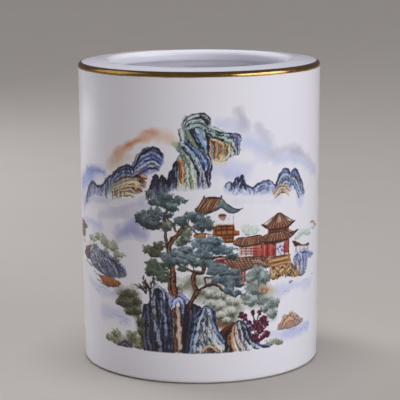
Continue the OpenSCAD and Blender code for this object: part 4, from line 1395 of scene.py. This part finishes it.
stroke([(-5.2, 12.8), (-4.6, 17), (-3.6, 22), (-2.4, 26.4), (-0.4, 29.6), (1.4, 31.6), (2.8, 31.8),
    (4.6, 30.4), (5.5, 28), (5.6, 25), (6.8, 22), (9, 18.8), (11, 15.6), (12.6, 12.8)], 0.6,
    (28, 32, 54), 0.9, taper=(0.06, 0.06))
stroke([(10.2, 13.2), (10.6, 18), (12.4, 22.8), (15, 25.2), (17.6, 24.6), (19.6, 21.2), (21.4, 17),
    (24, 14.6), (29, 13.3)], 0.6, (44, 38, 50), 0.9, taper=(0.06, 0.1))
between([(-24, 14), (-10, 14), (4, 13.8), (20, 13.8)],
    [(-24, 12.4), (-10, 12.4), (4, 12.4), (20, 12.4)], 50, 0.5,
    [(40, 42, 62), (120, 128, 140), (76, 60, 56)], 0.7, seed=119)
painted("pointed rocks in front")

# %% Shrubs on the left, and a bare tree
motif("enamel_bank_shrubs")
wash([(-34, 33.4), (-30.6, 33), (-27.6, 31)], 5.6, (110, 108, 86), 0.7)
wash([(-31, 29), (-27, 26), (-25.6, 21)], 3.2, (116, 114, 90), 0.6)
wash([(-41, 15.4), (-35, 15.6), (-28, 15.6)], 4.0, (140, 138, 108), 0.6)
for x, z, wide, tall, seed in [(-33.6, 34, 3.4, 2.2, 121), (-30, 35, 3.2, 2.2, 122),
        (-35.4, 31, 2.8, 1.9, 123), (-31.4, 31, 3.6, 2.4, 124), (-27.4, 32.4, 2.8, 2.4, 125),
        (-31, 27.8, 2.6, 1.8, 126), (-27.4, 28.4, 2.6, 2.2, 127), (-25.6, 24, 1.8, 2.4, 128),
        (-25.4, 20, 1.6, 2, 129)]:
    clump(x, z, wide, tall, OLIVE, OLIVE_LIGHT, seed, 0.8, needles=False)
    clump(x - 0.4, z - 0.5, wide * 0.6, tall * 0.5, (62, 62, 46), (112, 110, 84), seed + 400, 0.6,
        needles=False)
shrubs([(-42.6, 15, 2.8, 1.5, 131), (-38.4, 17.4, 3, 2, 132), (-39, 14.4, 3.4, 1.5, 133),
    (-30, 17.8, 3, 2.4, 134), (-27, 16.4, 2.8, 2.6, 135), (-32, 14.6, 3, 1.6, 136),
    (-26.6, 13.8, 2.4, 1.2, 137), (-34.6, 13.8, 2.6, 1.0, 138)], (108, 108, 78), (170, 168, 130), 0.78)
shape([(-38, 12.8), (-36, 14.2), (-33.4, 15.6), (-31, 14.8), (-30, 12.8)], (124, 108, 138),
    (92, 80, 108), soft=0.5)
nested([(-36.6, 13.2), (-33.6, 15), (-31, 13.2)], (0, -0.7), 2, 0.5, [(60, 50, 76), (170, 158, 180)],
    0.85)

motif("enamel_cliff")
rng = np.random.default_rng(140)
for x, z in [(-21, 38), (-20.4, 36.4), (-22.4, 36)]:
    for k in range(5):
        turn = rng.uniform(0.35, 0.85) * math.pi
        long = rng.uniform(4, 7.4)
        tip = (x + long * math.cos(turn), z + long * math.sin(turn))
        elbow = ((x + tip[0]) / 2 + rng.normal(0, 0.6), (z + tip[1]) / 2 + rng.normal(0, 0.4))
        stroke([(x, z), elbow, tip], 0.55, (64, 48, 48), 0.9, taper=(0.01, 0.7))
        for side in (-0.6, 0.6):
            twig = (elbow[0] + 2.2 * math.cos(turn + side), elbow[1] + 2.2 * math.sin(turn + side))
            stroke([elbow, twig], 0.35, (72, 54, 56), 0.85, taper=(0.01, 0.7))
stroke([(-20.4, 33), (-21, 36), (-21.2, 38.6), (-23.6, 41)], 0.9, (54, 42, 44), 0.9, taper=(0.05, 0.5))
painted("shrubs on the left, and a bare tree")

# %% The pines' trunks and boughs
motif("enamel_pines")
BARK_DARK, BARK, BARK_LIGHT = (40, 26, 26), (118, 76, 56), (180, 116, 78)


def bough(points, width, light=True):
    """A trunk or bough: round, with a warm side to the right and a dark one to the left."""
    fold(points, width, (BARK_LIGHT if light else BARK, BARK_DARK), 0.97, taper=(0.06, 0.4), dry=0.1,
        lit=0.55, shine=0.15)
    if light:
        stroke(np.array(points, float) - (0.4 * width, 0), width * 0.3, (36, 24, 26), 0.85,
            taper=(0.06, 0.3))


bough([(-10.2, 35.6), (-10.8, 40), (-11, 44), (-11.3, 48), (-12, 52), (-12.4, 55.6)], 2.6)
bough([(-12.2, 36), (-12.6, 41), (-13.2, 46)], 1.4)
bough([(-12.6, 54.6), (-12, 57.4), (-10.4, 59.6), (-8.6, 61.2), (-7.4, 62.8), (-5.2, 64.4),
    (-3.4, 63.6)], 2.0)
bough([(-13.8, 55), (-13.8, 60), (-14, 63), (-14.4, 67), (-13.6, 70), (-13.4, 73)], 1.1)
bough([(-9.4, 61.8), (-10.6, 64.2), (-12.4, 66.2), (-14.4, 68)], 0.9)
bough([(-5.4, 64.2), (-4.6, 66), (-4.8, 67.6)], 0.6, light=False)
bough([(-3.6, 63.6), (-2, 61.8), (0.4, 61)], 0.6, light=False)
bough([(-5, 30), (-4, 33), (-2.6, 36), (-1.6, 38), (-2.8, 41), (-2.6, 44.4), (-1.6, 45.6), (1.2, 45.6),
    (1.4, 49.4), (1.6, 53.6)], 1.7)
bough([(-1.6, 38), (1, 39.4), (4.4, 41), (7.2, 39.8), (10, 37.2), (13, 35.8)], 1.1)
bough([(1.4, 49), (3.8, 50.8), (6.4, 51.8), (10.8, 51.6)], 0.8)
bough([(2.2, 41), (1.8, 43.4), (4.4, 43.4), (7.2, 44.8)], 0.7, light=False)
bough([(-2.2, 45.4), (-5, 47), (-8.4, 48.4), (-10, 48.8)], 0.8)
for x, z in [(-13.8, 67.4), (-12.8, 66.2), (-11.4, 57.4), (-9.4, 60.6), (-10.8, 43), (-11.2, 38.6)]:
    dab(x, z, 0.6, 0.35, 0.6, (206, 112, 76), 0.8)
painted("the pines' trunks and boughs")

# %% Their needles, in flat cushions
for seed, (x, z, wide, tall, family) in enumerate([(-20.4, 76.4, 1.5, 1.8, 2),
        (-18.2, 73.6, 3.2, 1.9, 0), (-14, 75.8, 3.4, 2.5, 0), (-8.4, 74.4, 3.0, 1.5, 0),
        (-11.4, 71.8, 2.7, 2.3, 1), (-15, 72.4, 2.4, 1.3, 0), (-23.4, 66.8, 3.4, 2.6, 0),
        (-18, 68.4, 3.8, 2.5, 0), (-19.6, 64.4, 4.4, 2.4, 0), (-13.6, 64.2, 2.8, 2.3, 2),
        (-12.4, 68.6, 1.8, 1.3, 0), (-4.2, 68.2, 3.2, 1.8, 0), (-7.6, 66, 2.8, 2.0, 0),
        (-0.4, 67.2, 3.0, 2.3, 0), (2.6, 64.4, 2.6, 2.5, 0), (-0.8, 64, 2.2, 1.7, 0),
        (-5.2, 61.4, 2.4, 2.6, 2), (-8.2, 57.6, 2.3, 1.8, 2), (-6.2, 58.8, 2, 1.6, 2),
        (-20.6, 53.8, 3.7, 2.1, 3), (-16.8, 55.8, 2.4, 1.9, 3), (-17.6, 52.6, 2.8, 1.6, 3),
        (-12.6, 51.2, 3.2, 2.2, 4), (-8.8, 53.2, 3.6, 2.0, 4), (-3.6, 52.6, 3.6, 2.2, 4),
        (-6.6, 50.4, 3.2, 1.9, 4), (-1.6, 49.6, 3.2, 2.0, 1), (-1, 57.4, 3.4, 2.1, 4),
        (3.4, 58, 3.6, 2.4, 4), (1.4, 54.8, 3.0, 1.9, 4), (6.6, 55, 3.4, 2.1, 4),
        (10.6, 54, 3.3, 1.8, 4), (-19.4, 48.4, 2.8, 2.2, 5), (-17.2, 45.6, 3.8, 2.8, 5),
        (-20.6, 45.2, 2.6, 1.9, 5), (-15.8, 42.6, 2.4, 1.6, 5), (-13.6, 48.6, 2.2, 1.6, 5),
        (-7, 47, 2, 1.2, 5), (4.4, 49, 3.0, 1.8, 0), (7.8, 47.4, 3.6, 2.0, 4), (5.4, 46, 2.6, 1.6, 4),
        (10.8, 43.4, 3.4, 2.2, 4), (7, 42.4, 3.2, 1.6, 4), (12.6, 40.6, 3.4, 2.0, 4),
        (11.4, 37.8, 2.6, 1.6, 4), (14.4, 36.6, 2, 1.2, 4), (15.2, 43, 2, 1.5, 4),
        (-5.4, 54.8, 3.2, 1.6, 4), (2.4, 52.4, 3.0, 1.7, 4), (6.6, 57.8, 2.4, 1.5, 4),
        (12.6, 51.8, 2.4, 1.3, 0), (-10.2, 50, 2.6, 1.5, 4), (13.6, 45.4, 2.8, 1.7, 4),
        (16.2, 40.2, 2.0, 1.3, 0), (9.4, 45.4, 2.8, 1.6, 0)]):
    deep, pale = [(PINE, PINE_LIGHT), ((64, 90, 88), (122, 150, 144)), ((92, 104, 92), (150, 160, 142)),
        ((84, 86, 72), (136, 136, 116)), ((78, 96, 108), (148, 166, 174)),
        ((78, 92, 78), (132, 144, 124))][family]
    clump(x, z, 1.12 * wide, 1.1 * tall, deep, pale, 200 + seed, 0.88, lift=0.06)
for points in [[(-16.6, 74), (-13.6, 73)], [(-21, 66), (-16, 66.4), (-14.2, 67.4)],
        [(-19, 63.6), (-15.6, 64.8)], [(3, 57.4), (1.6, 54.6)],
        [(-8.6, 52.4), (-3.4, 49.6), (-2.4, 46)], [(8.6, 52.2), (5.6, 51.6)], [(10.6, 42), (7.4, 41)]]:
    stroke(points, 0.4, (58, 46, 44), 0.85, taper=(0.4, 0.05))
painted("the pines' needles")

# %% The plum bush
motif("enamel_plum_bush")
for points in [[(22.6, 13.6), (22.4, 20), (22, 26), (22.2, 29.6)], [(22.4, 19), (26, 22), (28.4, 25)],
        [(22.2, 22), (18.6, 25.4), (16, 28)], [(22.6, 24), (25, 27.6), (25.6, 29.4)],
        [(22.6, 17), (26, 16.6), (29, 19)]]:
    stroke(points, 0.55, (70, 36, 40), 0.9)
rng = np.random.default_rng(150)
for x, z, bunch, count in [(16.6, 27.4, 1.2, 16), (18.2, 26.4, 1.2, 14), (21.6, 28, 0.9, 10),
        (24.6, 27.6, 0.9, 9), (26.6, 24.4, 1.7, 34), (23.4, 22.8, 1.8, 36), (27.8, 22.8, 1.2, 18),
        (21, 21.8, 1.1, 14), (25.4, 20.6, 1.7, 30), (28.2, 18.6, 1.3, 26), (22.8, 18.2, 1.4, 22),
        (23.6, 16.6, 1.3, 22), (26.2, 17.6, 1.0, 10), (20, 24, 0.9, 8)]:
    for k in range(count):
        turn, reach = rng.uniform(0, 2 * math.pi), bunch * math.sqrt(rng.random())
        colour = [(108, 26, 68), (134, 40, 90), (78, 18, 50),
            (160, 72, 116)][rng.choice(4, p=[0.4, 0.3, 0.2, 0.1])]
        dab(x + reach * math.cos(turn), z + reach * math.sin(turn), 0.62, 0.5, turn, colour, 0.92)
painted("the plum bush")

# %% The lower edge, and what the whole picture covers
fringe = ease((upward - 12.3) / 0.7)[:, None] + 0 * cover
paint += (GLAZE_WHITE - paint) * (1 - fringe)[..., None]
cover *= fringe
level = np.clip(paint / GLAZE_WHITE, 0, 1)
paint = GLAZE_WHITE * level ** (1 + 0.5 * ease((0.9 - level.mean(2, keepdims=True)) / 0.5))
paint += (paint.mean(2, keepdims=True) - paint) * 0.14 * np.clip(cover, 0, 1)[..., None]
print(len(set(motifs)), "motifs; enamel covers", round(float(cover.sum() * PITCH**2)), "square mm")

# %% [markdown]
# ## Fixing the picture to the wall
#
# Each motif becomes a thin skin of its own, cut from the canvas where that motif's paint lies. A skin's
# vertices sit a hundredth of a millimetre proud of the glaze where there is enamel, a little more where
# it is thick, and dip just under the glaze at the rim, so that the skin has no visible edge. The
# colours ride on the vertices: a colour attribute needs no picture file and no image size.

# %% Which motif owns each cell of the canvas
names = list(dict.fromkeys(motifs))
number_of = np.array([names.index(m) for m in motifs])
owned = np.where((owner >= 0) & (cover > 0.02), number_of[owner], -1)


def grown(mark):
    """Spread each motif's points by one step over the empty points beside them."""
    near = mark.copy()
    for step, axis in ((1, 0), (-1, 0), (1, 1), (-1, 1)):
        near = np.maximum(near, np.roll(mark, step, axis))
    return np.where(mark >= 0, mark, near)


margin = grown(grown(owned))
corner_owners = [margin[:-1, :-1], margin[1:, :-1], margin[:-1, 1:], margin[1:, 1:]]
whole = np.minimum.reduce(corner_owners) >= 0
cell_of = np.where(whole, np.maximum.reduce(corner_owners), -1)
print("cells with enamel:", int((cell_of >= 0).sum()), "of", cell_of.size)

# %% The enamel's thickness
SUNK, PROUD, THICK = -0.014, 0.006, 0.022          # mm


def softened(values):
    """Mix each point a little with its neighbours."""
    for axis in (0, 1):
        values = (np.roll(values, 1, axis) + 2 * values + np.roll(values, -1, axis)) / 4
    return values


darkness = 1 - paint.mean(2) / GLAZE_WHITE.mean()
body_of_paint = softened(np.clip(cover, 0, 1) * (0.4 + darkness))
lift = softened(np.where(owned >= 0, PROUD + THICK * body_of_paint, SUNK))
print("thickest enamel:", round(float(lift.max()), 3), "mm")

# %% The enamel finish
enamel, tree, shader = new_finish("enamel")
colours = tree.nodes.new("ShaderNodeVertexColor")
colours.layer_name = "enamel"
feed(shader, "Base Color", clouded(tree, colours.outputs["Color"]))
glassy = spread(tree, noise(tree, 9), *GLAZE_GLOSS)
duller = spread(tree, noise(tree, 0.8, 3), 0.2, 0.36)
feed(shader, "Roughness", mixed(tree, colours.outputs["Alpha"], glassy, duller))
shader.inputs["IOR"].default_value = 1.5
bump(tree, shader, noise(tree, 0.6, 2), 0.008)
print("enamel made of", len(tree.nodes), "nodes")

# %% One skin for each motif
bearing = across[None, :] / wall_r
reach = wall_at(upward)[:, None] + uneven(bearing, upward[:, None]) + lift
spots = np.stack([reach * np.sin(bearing), -reach * np.cos(bearing), upward[:, None] + 0 * reach],
    axis=2)
rgba = np.dstack([linear(paint * 255), np.clip(cover, 0, 1)])


def skin(name, number):
    """Cut one motif out of the canvas and fix it to the wall."""
    rows, columns = np.nonzero(cell_of == number)
    first = rows * len(across) + columns
    above = first + len(across)
    corners = np.stack([first, first + 1, above + 1, above], axis=1)
    used, faces = np.unique(corners, return_inverse=True)
    piece = new_piece(name + "_skin", spots.reshape(-1, 3)[used], faces.reshape(-1, 4).tolist(), enamel,
        name)
    mesh = piece.data
    colour = mesh.color_attributes.new("enamel", "FLOAT_COLOR", "POINT")
    colour.data.foreach_set("color", rgba.reshape(-1, 4)[used].astype(np.float32).ravel())
    flat = np.column_stack([across[used % len(across)], upward[used // len(across)]])
    flat = (flat - flat.min(0)) / np.ptp(flat, axis=0) * 0.98 + 0.01
    turn = np.zeros(len(mesh.loops), np.int32)
    mesh.loops.foreach_get("vertex_index", turn)
    mesh.uv_layers.new(name="OFBake").data.foreach_set("uv", flat[turn].astype(np.float32).ravel())
    print(name, len(mesh.polygons), "faces")


for number, name in enumerate(names):
    skin(name, number)
